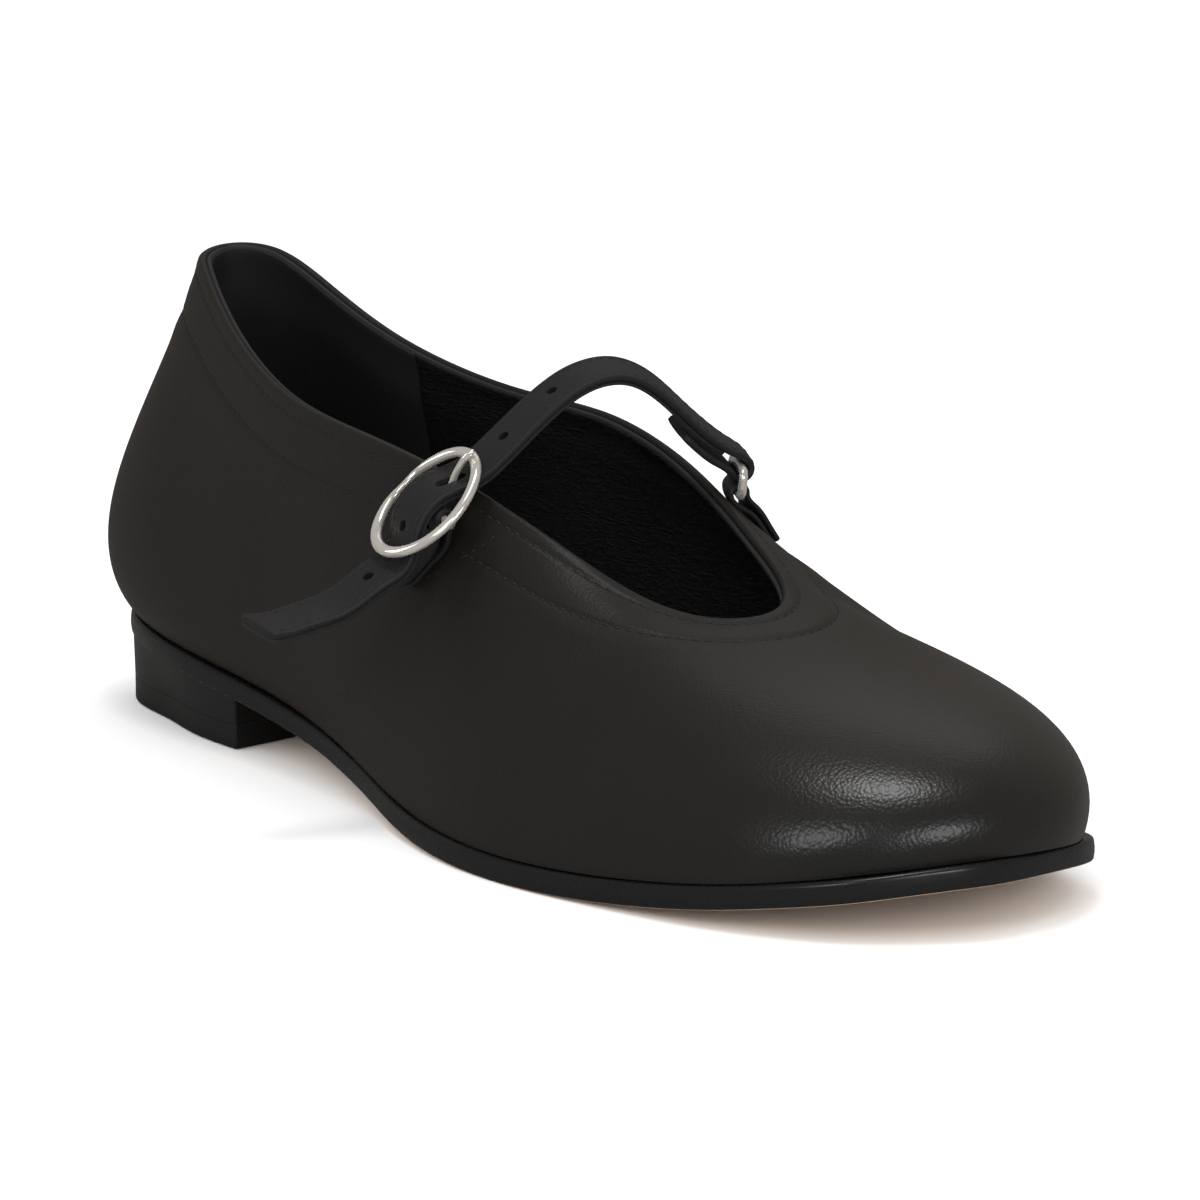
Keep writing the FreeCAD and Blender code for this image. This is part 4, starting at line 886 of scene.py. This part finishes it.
stitched = np.linspace(0, 1, 901)[:-1]
for row_name, distance in (("near", NEAR_ROW), ("far", far_row(stitched))):
    stitch_row("topline_stitch_" + row_name, *on_upper(stitched, distance), "shoe",
               pitch=2.3, length=1.8, radius=0.17, lift=0.06, closed=True)

# ------------------------------------------------------------------ strap plane
# The strap lies in a plane across the foot: ACROSS runs to the inner side, UP is vertical,
# and WIDTH (towards the toe) is the direction of the strap's width.
STRAP_ORIGIN = np.array([103.0, -31.8, 0.0])
ACROSS = unit(np.array([0.129, 0.992, 0.0]))
WIDTH = np.array([ACROSS[1], -ACROSS[0], 0.0])
UP = np.array([0.0, 0.0, 1.0])
BUCKLE_PITCH = 13.0  # degrees
RING_CENTRE = np.array([-0.3, 56.6])        # across, up
RING_ALONG = np.array([0.6884, 0.7254])     # direction along the ring
RING_OVER = np.array([-0.7254, 0.6884])     # direction out of the ring's face
BAR_DROP = 2.0                              # bar below the ring
BAR = RING_CENTRE - RING_OVER * BAR_DROP


def width_axis(pitch, yaw):
    """Direction of a width pitched down at the front and turned towards the inner side."""
    pitch, yaw = np.radians(pitch)[..., None], np.radians(yaw)[..., None]
    return (WIDTH * np.cos(yaw) + ACROSS * np.sin(yaw)) * np.cos(pitch) - UP * np.sin(pitch)


def strap_point(across, up):
    return STRAP_ORIGIN + ACROSS * across + UP * up


def square_to(vector, axis):
    """Unit vector left when the part along an axis is taken out."""
    return unit(vector - axis * np.sum(vector * axis, axis=-1, keepdims=True))


BUCKLE_WIDTH = width_axis(BUCKLE_PITCH, 0.0)
BUCKLE_ALONG = square_to(ACROSS * RING_ALONG[0] + UP * RING_ALONG[1], BUCKLE_WIDTH)
BUCKLE_OVER = np.cross(BUCKLE_WIDTH, BUCKLE_ALONG)
BAR_POINT = strap_point(*BAR)


def buckle_vector(along, over, width):
    along, over, width = (np.asarray(part, float)[..., None] for part in (along, over, width))
    return BUCKLE_ALONG * along + BUCKLE_OVER * over + BUCKLE_WIDTH * width


def buckle_point(along, over, width=0.0):
    return BAR_POINT + buckle_vector(along, over, width)


def ring_row(along, over, pitch):
    """Path row given from the ring's centre."""
    return (*(RING_CENTRE + RING_ALONG * along + RING_OVER * over), pitch)


LINK_RADIUS = 0.8
LINK_WIDTH = 14.0
LINK_UP, LINK_LOW = (60.7, 58.9), (60.3, 54.3)  # upper and lower bars of the link: across, up
LINK_YAW, LINK_PITCH = -20.0, 4.0               # degrees
STRAP_TURN = LINK_RADIUS + 0.35 + 0.6           # turn of the strap round the upper bar


def link_row(centre, radius, angle):
    """Path row on a turn round a bar of the link."""
    angle = math.radians(angle)
    stretch = 1.0 / math.cos(math.radians(LINK_YAW))
    return (centre[0] + radius * stretch * math.cos(angle),
            centre[1] + radius * math.sin(angle), LINK_PITCH, 0.0, LINK_YAW)


# Path rows: across, up, pitch in degrees, shift along the width, yaw in degrees.
# Missing entries are 0.
STRAP_PATH = [
    (-33.2, 37.9, 11.0), (-28.3, 37.9, 11.0), (-23.4, 38.9, 11.0),
    (-18.7, 40.0, 12.0), (-14.0, 42.3, 12.0),
    ring_row(-15.1, -1.15, 13.0), ring_row(-12.4, -2.1, 13.0), ring_row(-9.6, -2.0, 13.0),
    ring_row(-6.5, -0.5, 13.0), ring_row(-2.6, 1.25, 13.0), ring_row(0.6, 1.35, 13.0),
    ring_row(3.6, 0.35, 13.0), ring_row(6.6, -1.4, 12.0), ring_row(9.6, -2.8, 11.0),
    (12.0, 64.2, 10.0), (16.0, 67.5, 9.0), (20.0, 70.8, 8.0), (24.0, 73.7, 8.0),
    (28.0, 75.9, 9.0), (32.5, 77.2, 11.0), (37.0, 77.2, 15.0, 0.0, -1.0),
    (42.0, 75.3, 20.0, 0.0, -4.0), (46.5, 72.0, 22.0, 0.0, -7.0),
    (50.6, 68.3, 19.0, 0.0, -11.0), (54.6, 65.0, 14.0, 0.0, -15.0),
    (58.6, 62.3, 8.0, 0.0, -19.0),
]
STRAP_FOLD = [link_row(LINK_UP, STRAP_TURN, angle) for angle in (48, 22, -6, -36, -66, -96, -124)]
STRAP_RETURN = [
    (57.9, 59.0, 6.0, 0.0, -19.0), (54.9, 61.0, 10.0, 0.0, -16.0),
    (51.4, 63.6, 14.0, 0.0, -12.0), (48.4, 66.3, 17.0, 0.0, -9.0),
]
BACKING_END = (57.6, 62.95, 9.0, 0.0, -18.0)

Track = namedtuple("Track", "centre width normal distance rows")


def track(path, count):
    """Evenly spaced places along a path, each with its width direction and normal."""
    path = np.array([tuple(row) + (0.0,) * (5 - len(row)) for row in path])
    knots = lengths(path[:, :2])
    curve = natural_spline(knots, path)
    fine = np.linspace(0, knots[-1], 4001)
    along = lengths(curve(fine)[:, :2])
    distance = np.linspace(0, along[-1], count)
    at = np.interp(distance, along, fine)
    rows = curve(at)
    step = unit(spline_step(curve, at, knots[-1])[:, :2])
    width = width_axis(rows[:, 2], rows[:, 4])
    centre = strap_point(rows[:, :1], rows[:, 1:2]) + WIDTH * rows[:, 3:4]
    normal = square_to(UP * step[:, :1] - ACROSS * step[:, 1:2], width)
    return Track(centre, width, normal, distance, rows)


def band(name, path, low, high, width, radius, body, material, slot, replaces,
         tips=(1.0, 1.0), puff=0.0, groove=None, skew=0.0):
    """Leather band between two heights over its track.

    radius rounds the long edges, tips the two ends. puff swells the face, groove is the
    distance of a pressed line from each edge, and skew slants the start.
    """
    count = len(path.centre)
    half = np.full(count, width / 2)
    for tip, gap in zip(tips, (path.distance, path.distance[-1] - path.distance)):
        rounded = width / 2 - tip + np.sqrt(np.maximum(tip ** 2 - (tip - gap) ** 2, 0))
        half = np.where(gap < tip, np.minimum(half, rounded), half)
    flat_half = half - radius
    shares = np.linspace(-1, 1, 19)

    def corner(side, level, angles):
        return [(side * flat_half + radius * math.cos(angle), level + radius * math.sin(angle))
                for angle in np.radians(angles)]

    section = []
    for share in shares:
        height = high + puff * (1 - share * share)
        if groove:
            height = height - 0.09 * bell(abs(share) * half, width / 2 - groove, 0.35)
        section.append((share * flat_half, height))
    section += corner(1, high - radius, (60, 30, 0))
    section += corner(1, low + radius, (0, -30, -60, -90))
    section += [(share * flat_half, low) for share in shares[::-1]]
    section += corner(-1, low + radius, (-120, -150, -180))
    section += corner(-1, high - radius, (180, 150, 120))

    along = unit(np.gradient(path.centre, axis=0))
    slant = skew * np.maximum(0.0, 1.0 - path.distance / 9.0)[:, None]
    columns = []
    for lateral, height in section:
        lateral = lateral[:, None]
        height = np.broadcast_to(height, count)[:, None]
        columns.append(path.centre + path.width * lateral + path.normal * height
                       + along * slant * (0.5 + lateral / width))
    return piece(name, np.stack(columns, 1), tube_faces(count, len(section)), body,
                 [material], 50, slot=slot, replaces=replaces)


def punch(centre, axis, radius, half_depth, long_axis=None, stretch=0.0, sides=28):
    """Round punch, or a slot stretched along long_axis."""
    if long_axis is None:
        long_axis = unit(np.cross(axis, [0.3, 0.2, 0.9]))
    short_axis = np.cross(axis, long_axis)
    vertices = []
    for depth in (-half_depth, half_depth):
        for k in range(sides):
            angle = 2 * math.pi * k / sides
            shift = stretch / 2 * (1 if math.cos(angle) > 0 else -1)
            vertices.append(centre + axis * depth
                            + long_axis * (radius * math.cos(angle) + shift)
                            + short_axis * radius * math.sin(angle))
    faces = [[k, (k + 1) % sides, sides + (k + 1) % sides, sides + k] for k in range(sides)]
    faces += [list(range(sides))[::-1], list(range(sides, 2 * sides))]
    return mesh_object("punch", vertices, faces)


def cut(made, cutters):
    for cutter in cutters:
        modifier = made.modifiers.new("cut", "BOOLEAN")
        modifier.operation = "DIFFERENCE"
        modifier.solver = "EXACT"
        modifier.object = cutter
    bpy.context.view_layer.update()
    evaluated = made.evaluated_get(bpy.context.evaluated_depsgraph_get())
    mesh = bpy.data.meshes.new_from_object(evaluated)
    made.modifiers.clear()
    made.data = mesh
    for cutter in cutters:
        bpy.data.objects.remove(cutter, do_unlink=True)
    shade(made, 40)


def stitch_edges(name, path, keep, offset, height, body, length):
    """A stitch row near each long edge of a band."""
    for side, end in ((1, "front"), (-1, "back")):
        points = path.centre + path.width * side * offset + path.normal * height
        stitch_row(name + end, points[keep], path.normal[keep], body,
                   pitch=2.2, length=length, radius=0.16)


# ------------------------------------------------------------------ strap
STRAP_WIDTH = 10.0
STRAP_HALF = 0.6  # half the thickness of the strap's top leather
STRAP_GROOVE = 1.25
HOLE_PITCH = 12.0

strap_track = track(STRAP_PATH + STRAP_FOLD + STRAP_RETURN, 300)
strap = band(
    "strap_top", strap_track, -STRAP_HALF, STRAP_HALF, STRAP_WIDTH, radius=0.42, body="strap",
    material=STRAP_LEATHER, slot="strap_leather", replaces="strap_leather",
    puff=0.10, groove=STRAP_GROOVE, skew=2.0)
backing = band(
    "strap_under", track(STRAP_PATH[:-1] + [BACKING_END], 240), -1.32, -0.64, 9.4, radius=0.25,
    body="strap", material=STRAP_BACKING, slot="strap_back", replaces="strap_lining",
    tips=(1.0, 0.6), skew=2.0)


def hole_places():
    """Track indices of the holes, two on each side of the prong's slot."""
    distance = strap_track.distance
    gap = np.sum((strap_track.rows[:, :2] - ring_row(6.0, -0.9, 0.0)[:2]) ** 2, axis=1)
    # the folded end passes back over the strap, so only the first part is searched
    slot = np.argmin(np.where(distance < distance[-1] * 0.75, gap, 1e9))
    return [int(np.argmin(np.abs(distance - (distance[slot] + HOLE_PITCH * k))))
            for k in (-2, -1, 1, 2)]


for layer in (strap, backing):
    punches = [punch(buckle_point(5.7, 1.5), BUCKLE_OVER, 1.05, 4.5,
                     long_axis=BUCKLE_ALONG, stretch=3.0)]
    for i in hole_places():
        normal = strap_track.normal[i]
        punches.append(punch(strap_track.centre[i] - normal * 0.4, normal, 1.0, 3.0))
    cut(layer, punches)

stitch_edges(
    "strap_stitch_", strap_track,
    (strap_track.distance > 2.4) & (strap_track.distance < strap_track.distance[-1] - 14.5),
    offset=STRAP_WIDTH / 2 - STRAP_GROOVE, height=STRAP_HALF - 0.03, body="strap", length=1.75)

# ------------------------------------------------------------------ buckle ring and bar
RING_HALF_LENGTH, RING_HALF_WIDTH = 11.0, 8.95
RING_WIRE_HEIGHT = 0.828
BAR_RADIUS = 0.8
# cranked end of the bar: distance in from the ring's side, share of the drop
BAR_CRANK = [(0, 1), (0.5, 0.74), (1, 0.47), (1.5, 0.2), (2, 0.02), (2.6, 0)]


def ring_line(angle):
    """Slightly wandering oval with one shallow dent on its rear side."""
    scale = 1.0 + 0.008 * np.sin(3 * angle + 0.7) - 0.045 * bell(angle, 4.68, 0.20)
    return buckle_point(RING_HALF_LENGTH * scale * np.cos(angle),
                        BAR_DROP + 0.5 * np.cos(angle) ** 2,
                        RING_HALF_WIDTH * scale * np.sin(angle))


def buckle_ring(count=180, sides=20):
    angle = 2 * np.pi * np.arange(count) / count
    centre = ring_line(angle)
    along = unit(ring_line(angle + 1e-3) - centre)
    outward = unit(np.cross(BUCKLE_OVER, along))
    wire = (0.98 + 0.10 * bell(angle, 3.2, 0.5) + 0.03 * np.sin(5 * angle + 1.0)
            - 0.36 * bell(angle, 4.85, 0.36))
    ring = sweep(centre, outward * wire[:, None],
                 np.cross(along, outward) * RING_WIRE_HEIGHT, sides)

    # centre bar with cranked ends that run into the ring's sides: width, over
    crank = [(-RING_HALF_WIDTH + inset, BAR_DROP * share) for inset, share in BAR_CRANK]
    line = crank + [(width, 0.0) for width in np.linspace(-5.6, 5.6, 9)]
    line = np.array(line + [(-width, over) for width, over in crank[::-1]])
    padded = np.r_[line[:1], line, line[-1:]]
    step = unit(padded[2:] - padded[:-2]) * BAR_RADIUS
    bar = sweep(buckle_point(0.0, line[:, 1], line[:, 0]), buckle_vector(BAR_RADIUS, 0, 0),
                buckle_vector(0, step[:, 0], -step[:, 1]), sides)
    faces = grid_faces(count, sides, True, True) + tube_faces(len(line), sides, count * sides)
    return piece("buckle_ring", np.concatenate([ring, bar]), faces, "buckle", [NICKEL], 60,
                 slot="polished_metal", replaces="buckle_frame")


ring = buckle_ring()

# ------------------------------------------------------------------ prong
# centre line of the tongue: along, over, width
TONGUE = [
    (1.3, 0.1, 0.0), (3.0, 0.15, 0.0), (4.8, 0.75, 0.0), (6.6, 1.9, 0.22),
    (8.8, 3.3, 1.1), (10.9, 4.2, 2.0), (11.9, 4.15, 2.4),
]
EYE_RADIUS, EYE_HALF_THICKNESS, EYE_HALF_WIDTH = 1.35, 0.4, 1.0


def buckle_tongue(count=40, sides=16, eye_count=32, eye_sides=12):
    knots = lengths(np.array(TONGUE))
    curve = natural_spline(knots, TONGUE)
    i = np.arange(count)
    at = knots[-1] * i / (count - 1)
    radius = 0.68 * (1 - 0.25 * np.maximum(i - 31, 0) / 6.0)
    radius[:3] = 0.65
    radius[-1] *= 0.55
    step = unit(spline_step(curve, at, knots[-1])) * radius[:, None]
    tongue = sweep(buckle_point(*curve(at).T), buckle_vector(-step[:, 2], 0, radius),
                   buckle_vector(-step[:, 1], step[:, 0], 0), sides)

    def squared(wave):
        return np.copysign(np.abs(wave) ** 0.6, wave)

    # eye round the bar, with a squarish section
    turn = (2 * np.pi * np.arange(eye_count) / eye_count)[:, None]
    angle = 2 * np.pi * np.arange(eye_sides) / eye_sides
    reach = EYE_RADIUS + EYE_HALF_THICKNESS * squared(np.cos(angle))
    eye = buckle_point(reach * np.cos(turn), reach * np.sin(turn),
                       EYE_HALF_WIDTH * squared(np.sin(angle)))
    vertices = np.concatenate([tongue.reshape(-1, 3), eye.reshape(-1, 3)])
    faces = tube_faces(count, sides)
    faces += grid_faces(eye_count, eye_sides, True, True, count * sides)
    return piece("buckle_tongue", vertices, faces, "prong", [NICKEL], 50,
                 slot="polished_metal", replaces="buckle_prong")


prong = buckle_tongue()

# ------------------------------------------------------------------ paths on the walls
OUTER, INNER = -1, 1
LOOP_THICKNESS = 0.9  # of the chape and the tab
WALL_GAP = 0.6
UNDER_LAYER = WALL_GAP + LOOP_THICKNESS / 2
OVER_LAYER = WALL_GAP + LOOP_THICKNESS * 1.5 + 0.3


def wall_section(side, shift):
    """Outline of a wall in the strap plane moved by shift: across, up, from the top down."""
    start = 0.318 if side == OUTER else 0.672
    level = 1.0 - np.arange(33) / 40.0
    low, high = np.full(33, start - 0.09), np.full(33, start + 0.09)
    for _ in range(40):
        middle = (low + high) / 2
        forward = (skin(middle, level) - STRAP_ORIGIN) @ WIDTH - shift
        further = (forward < 0) == (side == OUTER)
        low, high = np.where(further, middle, low), np.where(further, high, middle)
    points = skin((low + high) / 2, level)
    return np.c_[(points - STRAP_ORIGIN) @ ACROSS, points[:, 2]]


def wall_at(section, z, offset):
    """Point of a wall section at height z, moved outward by offset."""
    for here, below in zip(section, section[1:]):
        if here[1] >= z >= below[1]:
            step = below - here
            point = here + step * (here[1] - z) / (here[1] - below[1])
            normal = unit(np.array([step[1], -step[0]]))
            if (normal[0] > 0) != (point[0] > 30):
                normal = -normal
            return point + normal * offset
    raise RuntimeError("wall height out of range")


def on_wall(side, z, shift, pitch, offset):
    """Path row off the wall, turned so that the width lies along it."""
    def across(slide, rise):
        return wall_at(wall_section(side, shift + slide), z + rise, 0.0)[0]

    along, up = wall_at(wall_section(side, shift), z, offset)
    slope_along = (across(4.0, 0.0) - across(-4.0, 0.0)) / 8.0
    slope_up = (across(0.0, 2.5) - across(0.0, -2.5)) / 5.0
    turn = slope_along - math.tan(math.radians(pitch)) * slope_up
    yaw = math.degrees(math.asin(max(-0.9, min(0.9, turn))))
    return (along, up, pitch, shift, yaw)


# ------------------------------------------------------------------ chape on the outer wall
CHAPE_TURN = BAR_RADIUS + 0.2 + LOOP_THICKNESS / 2
# places on the wall: z, shift, pitch, extra offset
CHAPE_WALL = [(43.4, -9.6, 40.0, 0.0), (45.6, -7.6, 38.0, 0.0), (48.0, -5.4, 34.0, 0.25)]


def chape_wall(layer):
    return [on_wall(OUTER, z, shift, pitch, layer + extra)
            for z, shift, pitch, extra in CHAPE_WALL]


chape_turn = [
    (BAR[0] + CHAPE_TURN * math.cos(angle), BAR[1] + CHAPE_TURN * math.sin(angle), BUCKLE_PITCH)
    for angle in np.radians((-35, -5, 30, 65, 100, 135, 170, 200))]
chape_path = (chape_wall(UNDER_LAYER) + [(2.9, 51.0, 27.0, -2.8)] + chape_turn
              + [(0.9, 51.2, 27.0, -2.8)] + chape_wall(OVER_LAYER)[::-1])
chape = band(
    "buckle_chape_leather", track(chape_path, 200), -LOOP_THICKNESS / 2, LOOP_THICKNESS / 2,
    10.0, radius=0.38, body="shoe", material=STRAP_LEATHER, slot="strap_leather",
    replaces="buckle_chape", puff=0.06, groove=1.1)
# opening for the prong's eye
opening = [buckle_point(along, over, width)
           for along in (-3.0, 3.0) for over in (-2.2, 3.0) for width in (-1.35, 1.35)]
opening_faces = [
    [0, 1, 3, 2], [4, 6, 7, 5], [0, 4, 5, 1], [2, 3, 7, 6], [0, 2, 6, 4], [1, 5, 7, 3]]
cut(chape, [mesh_object("punch", opening, opening_faces)])

# stitch line on the outer wall: five places, around and level
WALL_STITCH_AROUND = [0.3130, 0.3080, 0.2990, 0.2880, 0.2820]
WALL_STITCH_LEVEL = [0.90, 0.84, 0.76, 0.685, 0.64]
places = np.linspace(0, 1, 40)
around = np.interp(places, np.linspace(0, 1, 5), WALL_STITCH_AROUND)
level = np.interp(places, np.linspace(0, 1, 5), WALL_STITCH_LEVEL)
stitch_row("wall_stitch", at_depth(around, level, -0.02), skin_frame(around, level)[0], "shoe",
           pitch=2.1, length=1.7, radius=0.17, lift=0.05)

# ------------------------------------------------------------------ tab on the inner wall
TAB_TURN = LINK_RADIUS + 0.3 + LOOP_THICKNESS / 2


def tab_row(z, offset):
    return on_wall(INNER, z, 0.0, 0.0, offset)


tab_path = [tab_row(44.0, UNDER_LAYER), tab_row(47.0, UNDER_LAYER),
            tab_row(49.6, UNDER_LAYER + 0.1)]
tab_path += [link_row(LINK_LOW, TAB_TURN, angle) for angle in (196, 160, 125, 90, 55, 20, -10)]
tab_path += [tab_row(49.8, OVER_LAYER + 0.45), tab_row(47.0, OVER_LAYER + 0.1),
             tab_row(44.0, OVER_LAYER)]
tab_track = track(tab_path, 160)
band(
    "medial_tab_leather", tab_track, -LOOP_THICKNESS / 2, LOOP_THICKNESS / 2, 8.6, radius=0.38,
    body="shoe", material=STRAP_LEATHER, slot="strap_leather", replaces="medial_tab",
    puff=0.06, groove=1.1)
from_end = tab_track.distance[-1] - tab_track.distance
stitch_edges("tab_stitch_", tab_track, (from_end < 6.5) & (from_end > 1.2),
             offset=3.1, height=0.43, body="shoe", length=1.7)

# ------------------------------------------------------------------ link ring
LINK_CORNER = 1.5


def link_ring(count=120, sides=16):
    """Rounded rectangle of wire joining the strap's fold and the tab."""
    rise = np.subtract(LINK_UP, LINK_LOW)
    height = np.hypot(*rise)
    width = width_axis(LINK_PITCH, LINK_YAW)
    up = square_to(ACROSS * (rise[0] / height) + UP * (rise[1] / height), width)
    side = LINK_WIDTH / 2 - LINK_RADIUS - LINK_CORNER
    low, high = LINK_CORNER, height - LINK_CORNER
    corners = [(side, low, -90), (side, high, 0), (-side, high, 90), (-side, low, 180)]
    line = np.array([
        (x + LINK_CORNER * math.cos(angle), y + LINK_CORNER * math.sin(angle))
        for x, y, start in corners
        for angle in np.radians(np.linspace(start, start + 90, 10))])
    line = np.r_[line, line[:1]]
    along = lengths(line)
    at = np.linspace(0, along[-1], count + 1)[:-1]
    x, y = np.interp(at, along, line[:, 0]), np.interp(at, along, line[:, 1])
    step = unit(np.c_[np.roll(x, -1) - np.roll(x, 1), np.roll(y, -1) - np.roll(y, 1)])
    centre = strap_point(*LINK_LOW) + width * x[:, None] + up * y[:, None]
    outward = width * step[:, 1:] - up * step[:, :1]
    vertices = sweep(centre, outward * LINK_RADIUS, np.cross(width, up) * LINK_RADIUS, sides)
    return piece("link_wire", vertices, grid_faces(count, sides, True, True), "link", [NICKEL],
                 60, slot="polished_metal", replaces="link_ring")


link = link_ring()

# ------------------------------------------------------------------ pieces kept from the frame
KEPT_FINISHES = {
    "heel_counter": STIFFENER, "toe_puff": STIFFENER, "interlining_lateral": CLOTH,
    "interlining_medial": CLOTH, "insole_board": BOARD, "heel_foam_pad": FOAM,
    "bottom_filler": CORK, "shank": STEEL, "heel_nails": STEEL, "lift_pins": STEEL,
}
for name, material in KEPT_FINISHES.items():
    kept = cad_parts[name].data.materials
    kept.clear()
    kept.append(material)


# ------------------------------------------------------------------ floor and world (metres)
def by_glossy_ray(nodes, seen, reflected):
    """Colour as seen, with another one in glossy reflections."""
    glossy = nodes.add("LightPath").outputs["Is Glossy Ray"]
    return nodes.add("MixRGB", glossy, (*seen, 1), (*reflected, 1)).outputs[0]


def make_floor(half=12.0, z=-0.0002):
    mesh = bpy.data.meshes.new("floor")
    corners = [(-half, -half, z), (half, -half, z), (half, half, z), (-half, half, z)]
    mesh.from_pydata(corners, [], [(0, 1, 2, 3)])
    floor = bpy.data.objects.new("floor", mesh)
    bpy.context.scene.collection.objects.link(floor)
    paint = bpy.data.materials.new("floor paint")
    paint.use_nodes = True
    nodes = Nodes(paint.node_tree)
    color = by_glossy_ray(nodes, seen=(0.95, 0.95, 0.95), reflected=(0.13, 0.125, 0.12))
    nodes.set(paint.node_tree.nodes["Principled BSDF"],
              Base_Color=color, Roughness=0.85, Specular_IOR_Level=0.05)
    mesh.materials.append(paint)


def make_world():
    world = bpy.data.worlds.new("studio")
    bpy.context.scene.world = world
    world.use_nodes = True
    nodes = Nodes(world.node_tree)
    color = by_glossy_ray(nodes, seen=(1.22, 1.22, 1.22), reflected=(0.16, 0.155, 0.15))
    nodes.set(world.node_tree.nodes["Background"], color, 1.0)


make_floor()
make_world()
scene = bpy.context.scene
scene.view_settings.view_transform = "Standard"
scene.view_settings.look = "None"

# ------------------------------------------------------------------ lights (metres, watts)
# soft boxes in the mirror directions of spots on the shoe: name, spot, direction, distance,
# size, power
SOFT_BOXES = [
    ("top", (0.206, -0.0126, 0.0232), (0.003, -0.102, 0.995), 0.9, 0.20, 1.5),
    ("front", (0.2146, -0.008, 0.0174), (0.904, -0.278, 0.324), 0.8, 0.26, 1.2),
    ("side", (0.2022, -0.0235, 0.0161), (0.327, -0.776, 0.538), 0.8, 0.24, 0.9),
    ("back", (0.10, 0.0, 0.05), (-0.45, 0.45, 0.77), 1.3, 0.7, 0.5),
]
# reflector cards that only light the metal pieces: name, location, size, power
CARD_TARGET = (0.103, -0.03, 0.055)
CARDS = [
    ("card left", (-0.45, -0.85, 0.55), 0.42, 1.5),
    ("card right", (0.95, -0.75, 0.25), 0.30, 0.9),
    ("card top", (0.25, -0.35, 0.95), 0.36, 1.2),
]


def facing(direction):
    return direction.to_track_quat("-Z", "Y").to_euler()


def area_light(name, location, target, size, power):
    data = bpy.data.lights.new(name, "AREA")
    data.energy = power
    data.shape = "RECTANGLE"
    data.size = size
    data.size_y = size
    light = bpy.data.objects.new(name, data)
    light.location = location
    light.rotation_euler = facing(Vector(target) - Vector(location))
    scene.collection.objects.link(light)
    return light


for name, spot, direction, distance, size, power in SOFT_BOXES:
    location = [spot[i] + direction[i] * distance for i in range(3)]
    area_light(name, location, spot, size, power)

metal_pieces = bpy.data.collections.new("metal pieces")
for metal_piece in (ring, prong, link):
    metal_pieces.objects.link(metal_piece)
for name, location, size, power in CARDS:
    card = area_light(name, location, CARD_TARGET, size, power)
    card.light_linking.receiver_collection = metal_pieces

# ------------------------------------------------------------------ camera (metres, radians)
CAMERA_TARGET = (0.095, 0.0, 0.030)
CAMERA_DISTANCE = 0.899986
CAMERA_AZIMUTH, CAMERA_ELEVATION = 0.9693455, 0.1946979  # azimuth from -y towards +x

to_camera = Vector((math.sin(CAMERA_AZIMUTH) * math.cos(CAMERA_ELEVATION),
                    -math.cos(CAMERA_AZIMUTH) * math.cos(CAMERA_ELEVATION),
                    math.sin(CAMERA_ELEVATION)))
lens = bpy.data.cameras.new("camera")
lens.sensor_width = 36.0
lens.lens = 152.77
lens.shift_x, lens.shift_y = 0.0380, 0.0229
lens.clip_start, lens.clip_end = 0.01, 100
camera = bpy.data.objects.new("camera", lens)
camera.location = Vector(CAMERA_TARGET) + to_camera * CAMERA_DISTANCE
camera.rotation_euler = facing(-to_camera)
scene.collection.objects.link(camera)
scene.camera = camera
